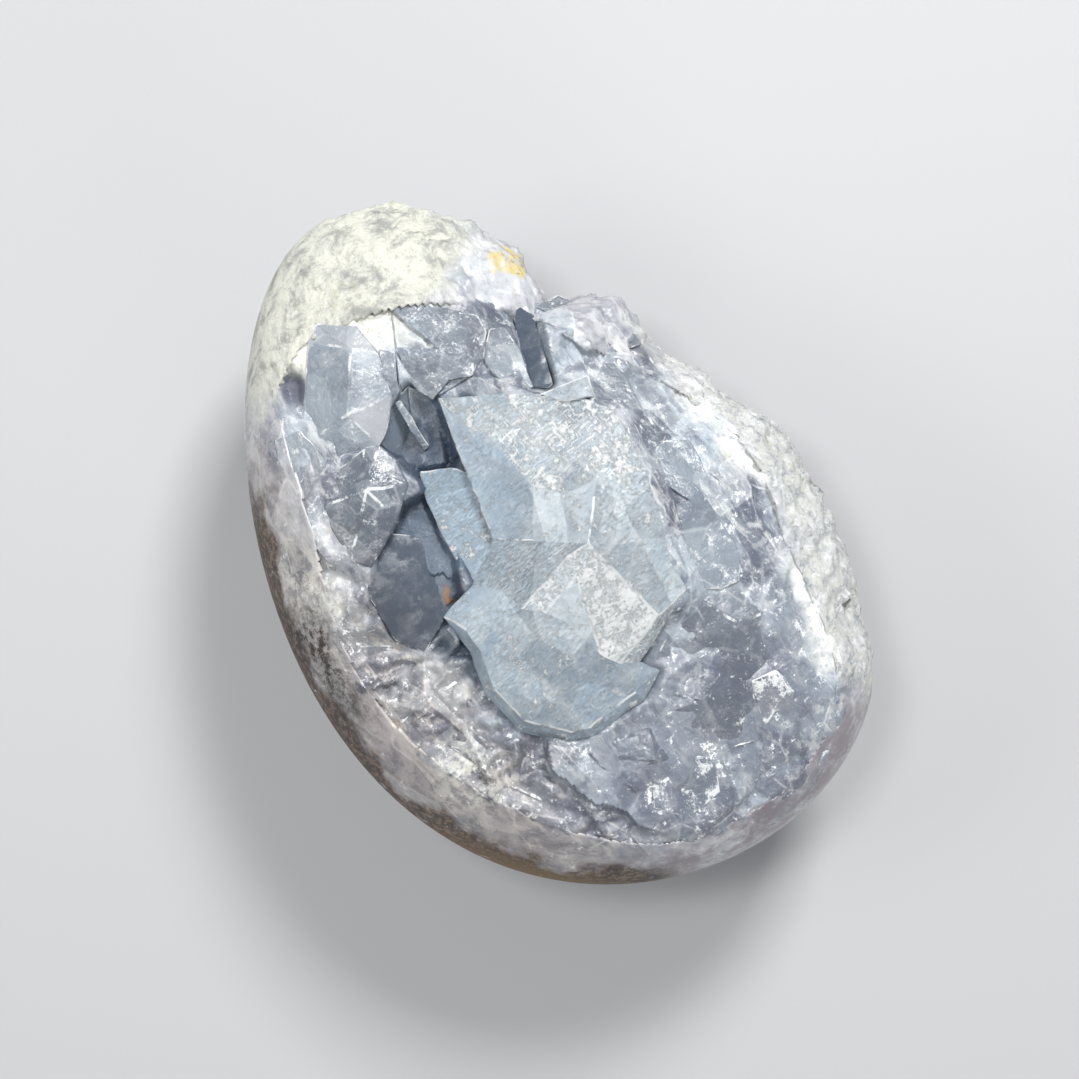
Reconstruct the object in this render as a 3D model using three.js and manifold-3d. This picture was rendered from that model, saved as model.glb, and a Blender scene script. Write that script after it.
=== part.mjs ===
// Celestite geode piece, ground to an egg, with a crust of crystals open to the front.
// Millimetres, +Z up through the crystals, +Y along the egg to its narrow end.
// The egg lies on a small flat on its rounded back, at the height 0; in plan the origin is about
// the middle of the whole egg's length and width.

import * as THREE from 'three';
import { ConvexGeometry } from 'three/addons/geometries/ConvexGeometry.js';
import { mergeVertices } from 'three/addons/utils/BufferGeometryUtils.js';
import Module from 'manifold-3d';

// Driving dimensions of the egg
const eggLength = 88;
const eggWidth = 61;
const backDepth = 26;
const frontDepth = 20;
const restFlatDepth = 0.5;
const widestHeight = backDepth - restFlatDepth;
const endTaper = 0.2;
const depthTaper = 0.08;
const sideBow = 3.4;
const eggSegmentsAround = 60;
const eggSegmentsAlong = 36;
const frontShare = 0.3;

// Depth lost from the whole egg along its broken +X rim, at places along Y; the deepest is the notch
const rimProfile = [
  [-44, 0.8], [-36, 1.4], [-30, 2.2], [-24, 1.7], [-16, 1.6], [-11, 0.8], [-6, 1.3], [-0.5, 2.7], [3, 2.2],
  [7.5, 3.8], [11, 2.8], [15.5, 1.2], [18.5, 2.8], [20.8, 6.4], [23, 5], [28, 2.3], [34, 1], [44, 0.8],
];
const rimFadeLow = 4;
const rimFadeHigh = 16;
const roughDepth = 0.8;
const coarseBump = 2.3;
const fineBump = 1.1;
const steepLimit = 2.6;

// Driving dimensions of the hollow and of the crust that lines it
const seatGap = 0.3;
const hollowCentreX = 1;
const hollowCentreY = -3;
const hollowWallHeight = 33;
const hollowFootReach = 0.9;
const hollowFloor = 30;
const hollowEdgeSteps = 62;
const openHeight = 80;
const groundEdgeDepth = 0.3;
const groundSlope = 0.42;
const groundDepth = 3.4;
const groundBump = 0.5;
const groundColumns = 26;
const groundRows = 38;

// Low broken blocks that fill the ring between the cluster and the rim
const blockRings = [
  { reach: 0.97, count: 34 },
  { reach: 0.8, count: 26 },
  { reach: 0.64, count: 20 },
];
const blockRingWidth = 23.5;
const blockRingLength = 35.5;
const blockRingY = -4;
const blockRadius = 4.2;
const blockDrop = 1.6;
const blockLean = 0.55;
const blockLowest = 0.5;
const blockFoot = 1.5;
const blockEdgeSpace = 1;

const wasm = await Module();
wasm.setup();

// A closed geometry as a solid that can be joined and cut
function solidOf(geometry) {
  const bare = geometry.clone();
  bare.deleteAttribute('normal');
  bare.deleteAttribute('uv');
  const merged = mergeVertices(bare, 1e-4);
  const mesh = new wasm.Mesh({
    numProp: 3,
    vertProperties: new Float32Array(merged.attributes.position.array),
    triVerts: new Uint32Array(merged.index.array),
  });
  return new wasm.Manifold(mesh);
}

function solidFrom(vertices, faces) {
  const geometry = new THREE.BufferGeometry();
  geometry.setAttribute('position', new THREE.BufferAttribute(new Float32Array(vertices), 3));
  geometry.setIndex(faces);
  return solidOf(geometry);
}

function geometryOf(solid) {
  const mesh = solid.getMesh();
  const geometry = new THREE.BufferGeometry();
  geometry.setAttribute('position', new THREE.BufferAttribute(new Float32Array(mesh.vertProperties), 3));
  geometry.setIndex(new THREE.BufferAttribute(new Uint32Array(mesh.triVerts), 1));
  geometry.computeVertexNormals();
  return geometry;
}

// Repeatable random numbers from 0 to 1
function randomFrom(seed) {
  let state = seed;
  return () => {
    state = (state * 1664525 + 1013904223) % 4294967296;
    return state / 4294967296;
  };
}

function smoothStep(low, high, value) {
  const t = Math.min(1, Math.max(0, (value - low) / (high - low)));
  return t * t * (3 - 2 * t);
}

// A soft bumpy field between -1 and 1, from a few crossed waves
function bumps(x, y, z, size) {
  const a = Math.sin(x / size + 1.7 * Math.sin(y / size * 0.8 + 0.4));
  const b = Math.sin(y / size * 1.1 + 1.5 * Math.sin(z / size * 0.9 + 2.1));
  const c = Math.sin(z / size * 1.2 + 1.6 * Math.sin(x / size * 0.7 + 1.3));
  return (a + b + c) / 3;
}

// The egg's surface, from a direction on the unit sphere whose poles are the two ends
function eggPoint(direction) {
  const along = direction.y;
  const depth = direction.z < 0 ? backDepth : frontDepth;
  return new THREE.Vector3(
    sideBow * along * along + eggWidth / 2 * direction.x * (1 - endTaper * along),
    eggLength / 2 * along,
    widestHeight + depth * direction.z * (1 - depthTaper * along),
  );
}

// Height of the whole egg's front surface over a point of the plan
function frontHeight(x, y) {
  const along = y / (eggLength / 2);
  const across = (x - sideBow * along * along) / (eggWidth / 2 * (1 - endTaper * along));
  const rise = Math.sqrt(Math.max(0, 1 - along * along - across * across));
  return widestHeight + frontDepth * rise * (1 - depthTaper * along);
}

// Depth lost at a place along the broken rim
function lossAt(y) {
  const after = Math.max(1, rimProfile.findIndex(([place]) => place >= y));
  const [lowPlace, low] = rimProfile[after - 1];
  const [highPlace, high] = rimProfile[after];
  return THREE.MathUtils.mapLinear(y, lowPlace, highPlace, low, high);
}

// Share of the rim's loss at a point of the plan: 1 out on the broken side, 0 on the polished one
function rimShare(x, y) {
  return smoothStep(9, 21, x + 0.2 * y);
}

// The front surface as it stands now, with the broken rim's loss taken off
function skinHeight(x, y) {
  const step = 0.2;
  const height = frontHeight(x, y);
  const slopeX = (frontHeight(x + step, y) - height) / step;
  const slopeY = (frontHeight(x, y + step) - height) / step;
  const steep = Math.min(Math.hypot(1, slopeX, slopeY), steepLimit);
  return height - rimShare(x, y) * lossAt(y) * steep;
}

// The ground egg with its broken rim and the low chalky head
function makeEgg() {
  const geometry = new THREE.SphereGeometry(1, eggSegmentsAround, eggSegmentsAlong);
  const position = geometry.attributes.position;
  const direction = new THREE.Vector3();
  for (let i = 0; i < position.count; i += 1) {
    direction.fromBufferAttribute(position, i).normalize();
    // The points are drawn round towards the front, where the detail is
    const reach = Math.hypot(direction.x, direction.z);
    const turn = Math.atan2(direction.x, direction.z);
    const drawn = turn - frontShare * Math.sin(turn);
    direction.set(reach * Math.sin(drawn), direction.y, reach * Math.cos(drawn));
    const point = eggPoint(direction);
    const rim = rimShare(point.x, point.y) * smoothStep(rimFadeLow, rimFadeHigh, point.z);
    const head = smoothStep(19, 25, point.y) * smoothStep(31, 35, point.z) * smoothStep(-14, -8, point.x);
    const coarse = bumps(point.x, point.y, point.z, coarseBump);
    const fine = bumps(point.x, point.y, point.z, fineBump);
    const relief = roughDepth * (0.8 * coarse + 0.5 * fine);
    point.addScaledVector(direction, -rim * (lossAt(point.y) + relief) + 0.5 * head * relief);
    position.setXYZ(i, point.x, point.y, point.z);
  }
  return solidOf(geometry);
}

// Edge of the hollow in plan, clockwise from beside the head
const hollowEdge = [
  [-5.5, 32.8], [0.4, 31], [7, 28.2], [11.2, 24.6], [13.8, 22.4], [16.4, 20.4],
  [17, 17], [18.6, 12.4], [21.8, 7.6], [24.1, 0.9], [25.6, -5.2], [24.6, -12],
  [22.2, -17.6], [20.6, -24.5], [18, -32.4], [13, -37.4], [6.2, -39.6], [-1.6, -38.6],
  [-9, -35.8], [-15, -29.6], [-19.6, -21.6], [-22.8, -12.5], [-24, -4.8], [-23.2, 2.4],
  [-20.6, 9.2], [-17.4, 15.6], [-15.2, 21.2], [-13.4, 26.4], [-10.4, 31],
];

// A dish under the hollow's edge, closed over its top; the inset pulls it in all round
function makeDish(inset) {
  const curve = new THREE.CatmullRomCurve3(
    hollowEdge.map(([x, y]) => new THREE.Vector3(x, y, 0)), true, 'centripetal');
  const centre = new THREE.Vector3(hollowCentreX, hollowCentreY, 0);
  const rings = [
    { reach: 1, height: openHeight },
    { reach: 1, height: hollowWallHeight },
    { reach: hollowFootReach, height: hollowFloor },
  ];
  const vertices = [];
  const faces = [];
  rings.forEach(({ reach, height }) => {
    for (let i = 0; i < hollowEdgeSteps; i += 1) {
      const edge = curve.getPoint(i / hollowEdgeSteps).sub(centre);
      const length = edge.length();
      edge.multiplyScalar((length * reach - inset) / length).add(centre);
      vertices.push(edge.x, edge.y, height + inset);
    }
  });
  const last = (rings.length - 1) * hollowEdgeSteps;
  for (let r = 0; r < rings.length - 1; r += 1) {
    for (let i = 0; i < hollowEdgeSteps; i += 1) {
      const a = r * hollowEdgeSteps + i;
      const b = r * hollowEdgeSteps + (i + 1) % hollowEdgeSteps;
      faces.push(a, b, a + hollowEdgeSteps, b, b + hollowEdgeSteps, a + hollowEdgeSteps);
    }
  }
  const top = vertices.length / 3;
  vertices.push(centre.x, centre.y, openHeight + inset);
  vertices.push(centre.x, centre.y, hollowFloor + inset);
  for (let i = 0; i < hollowEdgeSteps; i += 1) {
    const next = (i + 1) % hollowEdgeSteps;
    faces.push(top, next, i);
    faces.push(top + 1, last + i, last + next);
  }
  return solidFrom(vertices, faces);
}

// Distance in from an outline of the plan, below zero outside it
function insideOf(outline, x, y) {
  let nearest = Infinity;
  let isInside = false;
  outline.forEach(([ax, ay], i) => {
    const [bx, by] = outline[(i + 1) % outline.length];
    const along = ((x - ax) * (bx - ax) + (y - ay) * (by - ay)) / ((bx - ax) ** 2 + (by - ay) ** 2);
    const share = Math.min(1, Math.max(0, along));
    nearest = Math.min(nearest, Math.hypot(x - ax - share * (bx - ax), y - ay - share * (by - ay)));
    if ((ay > y) !== (by > y) && x < ax + (y - ay) / (by - ay) * (bx - ax)) isInside = !isInside;
  });
  return isInside ? nearest : -nearest;
}

// A crystal with flat faces, given by the corners of its top and narrowed or widened to its foot
function makeCrystal({ corners, foot, base }) {
  const middle = middleOf(corners);
  const points = [];
  corners.forEach(([x, y, z]) => {
    points.push(new THREE.Vector3(x, y, z));
    points.push(new THREE.Vector3(
      middle.x + (x - middle.x) * foot,
      middle.y + (y - middle.y) * foot,
      base,
    ));
  });
  return solidOf(new ConvexGeometry(points));
}

// Middle of some corners in plan, with their mean distance from it
function middleOf(corners) {
  const x = corners.reduce((sum, corner) => sum + corner[0], 0) / corners.length;
  const y = corners.reduce((sum, corner) => sum + corner[1], 0) / corners.length;
  const whole = corners.reduce((sum, corner) => sum + Math.hypot(corner[0] - x, corner[1] - y), 0);
  return { x, y, reach: whole / corners.length };
}

// Tabular blades below the head, and the two large ones on its left
const headBlades = [
  {
    foot: 1.12, base: 28,
    corners: [
      [-2.7, 33.7, 36.4], [-4.6, 32.8, 36.2], [-9.2, 27.9, 36.6], [-11.6, 24.1, 36.8],
      [-11.1, 19.9, 37.7], [-7.3, 19.5, 38.6], [-5.8, 18.7, 38.8], [-4.2, 19.4, 39.1],
      [-2.3, 21.1, 39.4], [-1, 22, 39.9], [0.6, 26.5, 39.7], [0.6, 30.5, 38.5], [-1.5, 28.8, 39.6],
      [-6.3, 23.4, 39.8],
    ],
  },
  {
    foot: 1.12, base: 28,
    corners: [
      [4.9, 29.7, 38.4], [7.6, 28.3, 38.1], [10.1, 25.4, 37.6], [11.8, 23.1, 36.7],
      [11.3, 21, 37.6], [9.1, 19, 39.3], [7, 18.2, 39.8], [4.7, 19.4, 39.8], [1.9, 19, 39.2],
      [1.3, 20.6, 39.1], [1.3, 22.3, 39.4], [2.3, 25.7, 40], [6, 22.6, 40.4],
    ],
  },
  {
    foot: 1.12, base: 28,
    corners: [
      [0.9, 26.8, 40.1], [2.1, 25.5, 40.3], [0.4, 22.9, 40.6], [-0.1, 21.7, 40.2],
      [-2.6, 20.9, 39.5], [-2.7, 22.7, 39.7], [-0.8, 25.4, 40.3],
    ],
  },
  {
    foot: 1.12, base: 28,
    corners: [
      [11.8, 21.2, 37.2], [13.2, 20.3, 36.5], [12.9, 17.2, 38.1], [11.4, 12.9, 39.8],
      [9.9, 13.8, 40.2], [8.8, 16.8, 40.6], [9.1, 18.7, 39.9],
    ],
  },
  {
    foot: 1.12, base: 28,
    corners: [
      [-11.1, 19.6, 37.3], [-7.4, 19.4, 38.2], [-5.8, 18.7, 38.3], [-5.3, 16.1, 38.6],
      [-6, 13.3, 38.8], [-9.6, 10.9, 38.7], [-15.1, 8.8, 37.6], [-16.3, 10.9, 37.3],
      [-15.8, 14.8, 37.1], [-14.8, 17.5, 37], [-12.9, 18.9, 37], [-9.9, 15.7, 39.6],
    ],
  },
  {
    foot: 1.12, base: 28,
    corners: [
      [-14.6, 26.9, 35], [-11.6, 25.8, 36.9], [-11.4, 22.7, 37.6], [-11.5, 19.6, 37.8],
      [-14.8, 17.6, 37.2], [-16.2, 14.5, 37.4], [-17, 11.2, 37.6], [-19.8, 12.3, 36.2],
      [-20.4, 17.1, 34.9], [-18.4, 21.3, 34.8],
    ],
  },
];

// Dark prism that lies in the notch
const notchPrism = [
  {
    foot: 0.95, base: 26,
    corners: [
      [16.1, 22.6, 30.8], [17, 21.5, 29.8], [16.9, 19.2, 32.5], [15.3, 16.2, 36.1],
      [13.4, 11.9, 38], [12.7, 11.8, 37.9], [11.4, 13, 38.2], [13, 17.3, 36], [15, 20.6, 33],
    ],
  },
];

// Glassy lumps of the rim beside the notch, grown on the stone itself
const rimLumps = [
  {
    foot: 0.9, base: 24,
    corners: [
      [17.9, 20.3, 31], [20.7, 19.9, 29.4], [22, 17.5, 30.4], [20.6, 14.2, 34.9],
      [18.4, 12.9, 36.4], [16.4, 14.3, 36.5], [16, 16.5, 35.4], [18.6, 17.7, 34.4],
    ],
  },
  {
    foot: 0.9, base: 24,
    corners: [
      [22, 17.5, 29.9], [23.9, 16.7, 28.3], [24.6, 14.2, 29.8], [25, 11.1, 30.9],
      [24.2, 9.2, 32.1], [22.6, 9.8, 33.8], [20.4, 12.1, 35.4], [20.5, 14.3, 34.7],
      [22.6, 13.4, 34],
    ],
  },
];

// Broad facets between the cluster and the broken rim
const rightFacets = [
  {
    foot: 1.3, base: 28,
    corners: [
      [14, 11.5, 38.2], [16.8, 13.9, 36.4], [20.5, 12.3, 34.8], [24.1, 9.2, 31.6],
      [24.6, 5.1, 31.6], [23.5, 1.7, 34.4], [19, -0.7, 38.6], [16.2, -0.7, 40], [16.7, 3.4, 39],
      [17.1, 6, 38.2], [16.4, 8.7, 38], [20.7, 5.4, 36.2],
    ],
  },
  {
    foot: 1.3, base: 28,
    corners: [
      [15, -1.2, 41], [19, -0.7, 38.6], [21.3, -2.5, 37.9], [20.4, -6.1, 38.9], [18.3, -11.6, 40],
      [17.3, -15.9, 39.8], [15.6, -17.9, 40.1], [13.4, -17.4, 40.8], [10.8, -15.3, 41.6],
      [11.5, -11.7, 42.4], [13.2, -6, 42.6], [16.9, -7.6, 41.6],
    ],
  },
  {
    foot: 1.3, base: 28,
    corners: [
      [19, -0.7, 38.5], [23.5, 1.4, 34.1], [24.6, -2.3, 35], [24.1, -8.3, 36], [22.4, -13.7, 36.6],
      [20.2, -18.4, 37.6], [17.4, -19.4, 39], [16.8, -16.9, 39.5], [19.1, -9.4, 39.1],
      [21, -8, 38.8],
    ],
  },
  {
    foot: 1.3, base: 28,
    corners: [
      [10.5, -15.4, 40.9], [13.5, -17.3, 40.2], [15, -18.8, 39.8], [15.4, -22.3, 39.4],
      [18.2, -28, 36.5], [16.4, -30.2, 36.3], [14.7, -31.8, 36.1], [12.3, -28.4, 38.3],
      [9.6, -27.3, 39], [10.3, -25.5, 39], [8.4, -22.5, 39.8], [5.2, -22, 39.7],
      [2.2, -21.2, 39.4], [2.2, -19, 39.8], [12.5, -21.7, 40.4],
    ],
  },
  {
    foot: 1.3, base: 28,
    corners: [
      [9.6, -27.4, 39.5], [12.6, -28.2, 39], [13.8, -32.3, 36.9], [12, -39.2, 32.4],
      [10.8, -40.8, 30.4], [8.7, -41, 30.4], [8.1, -40, 31.6], [6.8, -37.3, 34.5],
      [7.4, -32.4, 37.4], [12.3, -31, 38.6], [10.7, -39.2, 33.8],
    ],
  },
];

// Low facets round the foot of the cluster
const lowerFacets = [
  {
    foot: 1.45, base: 28,
    corners: [
      [-10.9, -22.1, 38.1], [-9.2, -22.2, 39.3], [-9.1, -24.2, 39.4], [-8.3, -29.3, 38],
      [-9, -29.6, 36.6], [-10.4, -26.5, 36.6],
    ],
  },
  {
    foot: 1.45, base: 28,
    corners: [
      [-8.8, -23.5, 38.5], [-5.6, -22.7, 39], [-2.4, -24.3, 39.6], [-0.8, -29.6, 38.2],
      [-2.1, -31.5, 37.3], [-5, -32.1, 36.6], [-8, -29.7, 36.9], [-8.4, -27, 38],
      [-4.2, -27.4, 39.8],
    ],
  },
  {
    foot: 1.45, base: 28,
    corners: [
      [-14.8, -28.2, 36.3], [-11.1, -28.6, 37.3], [-7, -31.1, 37.1], [-5.1, -35.1, 35.4],
      [-7.2, -38.4, 31.8], [-11.2, -37, 31.7], [-14.7, -33.3, 33.4], [-10.1, -32.3, 36.6],
    ],
  },
  {
    foot: 1.45, base: 28,
    corners: [
      [-20.4, 2.8, 36.9], [-19.2, -0.3, 37.2], [-17, -2.8, 37.4], [-12.5, -3.6, 37],
      [-13.1, -6, 37.2], [-17.8, -6.5, 37.7], [-21.5, -2.1, 36.9],
    ],
  },
  {
    foot: 1.45, base: 28,
    corners: [
      [-26.4, -0.7, 33.4], [-21.8, -2.5, 36.9], [-17.9, -6.6, 37.8], [-13, -7.4, 37.4],
      [-14.5, -10.5, 37.2], [-14, -15.9, 37], [-17.5, -16.7, 37.6], [-21.3, -10.8, 37.1],
      [-25.3, -5.3, 34.9],
    ],
  },
  {
    foot: 1.45, base: 28,
    corners: [
      [-14.2, -16.1, 37], [-10.5, -20.7, 37.2], [-11, -22.7, 37.9], [-11.1, -26.4, 37.1],
      [-15.2, -24.4, 37.1], [-18.1, -19.1, 37.6], [-17.8, -16.7, 37.9],
    ],
  },
  {
    foot: 1.45, base: 28,
    corners: [
      [1.1, -21.7, 39.6], [6.7, -22, 39.8], [10, -25.9, 38.9], [9, -28.3, 38.7],
      [7.3, -32.7, 37.1], [3.7, -31.9, 37.8], [0.2, -28.2, 38.8], [-1.9, -23.8, 39],
      [3.9, -25.3, 40.5],
    ],
  },
  {
    foot: 1.45, base: 28,
    corners: [
      [3.7, -31.9, 38], [7.1, -33.3, 37.2], [6.7, -37.5, 34.8], [2, -38.9, 34],
      [-1.4, -35.8, 36.1], [-1, -31.6, 37.9],
    ],
  },
];

// Flat facets at the bottom of the two deep recesses
const recessFacets = [
  {
    foot: 1, base: 28,
    corners: [
      [-11.1, 10.3, 34.2], [-7.1, 7, 33.8], [-8.4, 3.5, 34], [-9, 0.4, 34.6], [-12.7, -0.6, 35.6],
      [-16.4, -2.1, 36.8], [-18.2, 1, 37], [-17.3, 6.1, 36.4], [-16.1, 8.6, 35.4],
    ],
  },
  {
    foot: 1, base: 28,
    corners: [
      [-8.3, 11.9, 32.6], [-6.2, 11.3, 32.2], [-7.3, 7.9, 33], [-7.1, 7, 33.8],
      [-11.2, 10.2, 34.2],
    ],
  },
  {
    foot: 1, base: 28,
    corners: [
      [0.9, 21.9, 36.6], [2.2, 18.8, 34.6], [-0.8, 12.5, 34.2], [-4, 14.2, 32.6], [-2, 17.9, 34],
    ],
  },
  {
    foot: 1, base: 28,
    corners: [
      [0.9, 21.9, 36], [-1.8, 17.9, 32.4], [-4, 14.2, 32], [-5.2, 16, 34], [-5.7, 18.7, 36],
      [-2.4, 21.2, 36.6],
    ],
  },
  {
    foot: 1, base: 28,
    corners: [
      [-1.5, 21.2, 37.2], [-0.8, 21, 37.2], [-1.7, 15.3, 35.4], [-2.4, 15.2, 35], [-2.1, 18, 36.6],
    ],
  },
];

// Plates that stand out from under the cluster
const underPlates = [
  {
    foot: 0.9, base: 28,
    corners: [
      [-4.2, 13.7, 39.6], [-1.2, 11.9, 40.4], [0.6, 9, 40.6], [-1.2, 3, 41], [-5.6, -0.6, 40.9],
      [-7.5, 0.4, 40.2], [-7, 6.1, 39.3], [-5.7, 10.7, 39],
    ],
  },
  {
    foot: 0.9, base: 28,
    corners: [
      [11.4, 11.8, 42.6], [16.8, 10.1, 42.4], [15.9, 7.9, 43.3], [12.7, 9.6, 43.4],
    ],
  },
];

// The large crystal in the middle: its corners by name, and its faces
const clusterBase = 28;
const clusterCorners = {
  plateTip: [2.4, 18.6, 41.2], plateTop: [8.2, 14.4, 42.8], plateNeck: [14.8, 8.5, 43],
  plateBend: [16.5, 5.4, 42.6], plateSide: [16.2, 3.3, 43], plateEast: [15, -1.9, 44.2],
  waistEast: [10.4, 0.7, 46], waist: [7.4, 1.4, 45.6], waistMid: [6.3, 1.9, 45.2],
  waistWest: [4.5, 4.5, 44], plateFoot: [4.1, 10.3, 42.6], plateHeel: [3, 14.3, 41.8],
  windowWest: [-2.6, 2.7, 41.8], windowEast: [0.7, -0.2, 43.6], peak: [5.1, -4.1, 47.6],
  shoulder: [8.8, -0.7, 46.6], flankTop: [13.2, -6.5, 44.6], flank: [10.9, -11.1, 44.4],
  blockEast: [10.5, -14.8, 43.2], ridgeEnd: [6.1, -15.2, 44.4], bandEnd: [-0.4, -16.6, 43],
  bandOut: [1.4, -17.9, 41.8], notchCorner: [-7.5, 0.4, 40.6], streakCorner: [-5.2, -2.3, 42.8],
  finFoot: [-5, -5.1, 43.8], finTop: [2.5, -3.7, 46.9], innerTop: [1.9, -6.2, 46.6],
  finHeel: [-3.2, -7, 44.4], innerFoot: [-2.2, -9.2, 44.2], innerEnd: [-1.5, -14.4, 43.6],
  tip: [-12.3, -0.4, 39.6], tipRidge: [-11.2, -3, 41], skirtA: [-12.5, -5.3, 39],
  skirtB: [-14.2, -9.9, 38.4], skirtC: [-13.8, -15.6, 38], skirtD: [-10.2, -20.2, 38.2],
  skirtE: [-7.9, -21.2, 38.6], skirtF: [-0.8, -21.5, 40], skirtG: [2.5, -20.1, 40.4],
  brimA: [-11.4, -6, 41.2], brimB: [-13, -10.2, 40.4], brimC: [-12.5, -15.1, 40.2],
  brimD: [-9.3, -19.2, 40.2], brimE: [-7.4, -20, 40.5], brimF: [-1.1, -20.2, 41.4],
};
const clusterFaces = [
  'plateTip plateTop plateNeck plateBend plateSide plateEast waistEast'
    + ' waist waistMid waistWest plateFoot plateHeel',
  'plateTip plateHeel plateFoot waistWest windowEast windowWest',
  'windowEast waistWest waistMid waist waistEast shoulder peak',
  'shoulder waistEast plateEast flankTop flank blockEast ridgeEnd peak',
  'windowWest windowEast peak finTop finFoot streakCorner notchCorner',
  'finTop innerTop finHeel finFoot',
  'peak ridgeEnd bandEnd innerEnd innerTop finTop',
  'innerTop innerEnd innerFoot finHeel',
  'ridgeEnd blockEast bandOut bandEnd',
  'notchCorner streakCorner finFoot tipRidge tip',
  'tip tipRidge brimA skirtA',
  'finFoot finHeel innerFoot brimC brimB brimA tipRidge',
  'innerFoot innerEnd bandEnd bandOut brimF brimE brimD brimC',
  'skirtA brimA brimB skirtB',
  'skirtB brimB brimC skirtC',
  'skirtC brimC brimD skirtD',
  'skirtD brimD brimE skirtE',
  'skirtE brimE brimF skirtF',
  'skirtF brimF bandOut skirtG',
];

// Recesses in the crust, each with its depth and its outline in plan
const recessSlope = 1.2;
const recesses = [
  {
    depth: 3.4,
    outline: [
      [-2.3, 21.4], [0.9, 21.9], [2.4, 18.6], [-0.4, 12.2], [-3.6, 10.4], [-5, 14.6], [-5.7, 18.7],
    ],
  },
  {
    depth: 3.6,
    outline: [
      [-3.6, 11], [-6.2, 7.3], [-7.2, 3.6], [-9.6, -0.6], [-16.5, -2.2], [-18.3, 1], [-17.4, 6.1],
      [-13.3, 10.2], [-8.1, 12],
    ],
  },
  {
    depth: 1.6,
    outline: [
      [-12.4, 29.4], [-9.4, 30.6], [-9, 26.8], [-11.6, 25.8],
    ],
  },
];

// The cluster: its faces seen from above, their copies at its base, and walls round the outside
function makeCluster() {
  const names = Object.keys(clusterCorners);
  const corners = Object.values(clusterCorners);
  const vertices = corners.flat();
  corners.forEach(([x, y]) => vertices.push(x, y, clusterBase));
  const faces = [];
  const edges = new Set();
  clusterFaces.forEach((face) => {
    const ring = face.split(' ').map((name) => names.indexOf(name));
    const flat = ring.map((i) => new THREE.Vector2(corners[i][0], corners[i][1]));
    if (THREE.ShapeUtils.isClockWise(flat)) {
      ring.reverse();
      flat.reverse();
    }
    THREE.ShapeUtils.triangulateShape(flat, []).forEach(([a, b, c]) => {
      faces.push(ring[a], ring[b], ring[c]);
      faces.push(ring[c] + names.length, ring[b] + names.length, ring[a] + names.length);
    });
    ring.forEach((start, i) => edges.add(`${start} ${ring[(i + 1) % ring.length]}`));
  });
  edges.forEach((edge) => {
    const [a, b] = edge.split(' ').map(Number);
    if (edges.has(`${b} ${a}`)) return;
    faces.push(b, a, a + names.length, b, a + names.length, b + names.length);
  });
  return solidFrom(vertices, faces);
}

// The crust's own ground, a little below the surface at its edge and lower in the recesses
function groundHeight(x, y) {
  const depth = groundSlope * (insideOf(hollowEdge, x, y) + groundEdgeDepth);
  let height = skinHeight(x, y) - Math.min(groundDepth, Math.max(0, depth));
  recesses.forEach((recess) => {
    height -= recess.depth * smoothStep(0, recessSlope, insideOf(recess.outline, x, y));
  });
  return height + groundBump * bumps(x, y, 0, coarseBump);
}

function makeGround() {
  const width = eggWidth + 3;
  const length = eggLength + 4;
  const geometry = new THREE.BoxGeometry(width, length, hollowFloor, groundColumns, groundRows, 1);
  const position = geometry.attributes.position;
  for (let i = 0; i < position.count; i += 1) {
    const x = position.getX(i);
    const y = position.getY(i);
    const height = position.getZ(i) > 0 ? Math.max(groundHeight(x, y), 1) : 0;
    position.setZ(i, height);
  }
  return solidOf(geometry);
}

const largeCrystals = [
  ...headBlades, ...notchPrism, ...rightFacets, ...lowerFacets, ...recessFacets, ...underPlates,
];

// Whether a small block would stand on a larger crystal or in a recess
function isTaken(x, y) {
  const deep = recesses.some((recess) => insideOf(recess.outline, x, y) > 0);
  const onCluster = [{ x: 7, y: 3, reach: 9 }, { x: -3, y: -12, reach: 9 }];
  const spots = [...largeCrystals.map(({ corners }) => middleOf(corners)), ...onCluster];
  return deep || spots.some((spot) => Math.hypot(x - spot.x, y - spot.y) < 0.95 * spot.reach);
}

// A corner pulled in towards the middle until it stands clear of the hollow's edge
function pulledIn(x, y) {
  let share = 1;
  let corner = [x, y];
  while (insideOf(hollowEdge, ...corner) < blockEdgeSpace) {
    share -= 0.04;
    corner = [hollowCentreX + (x - hollowCentreX) * share, blockRingY + (y - blockRingY) * share];
  }
  return corner;
}

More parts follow.
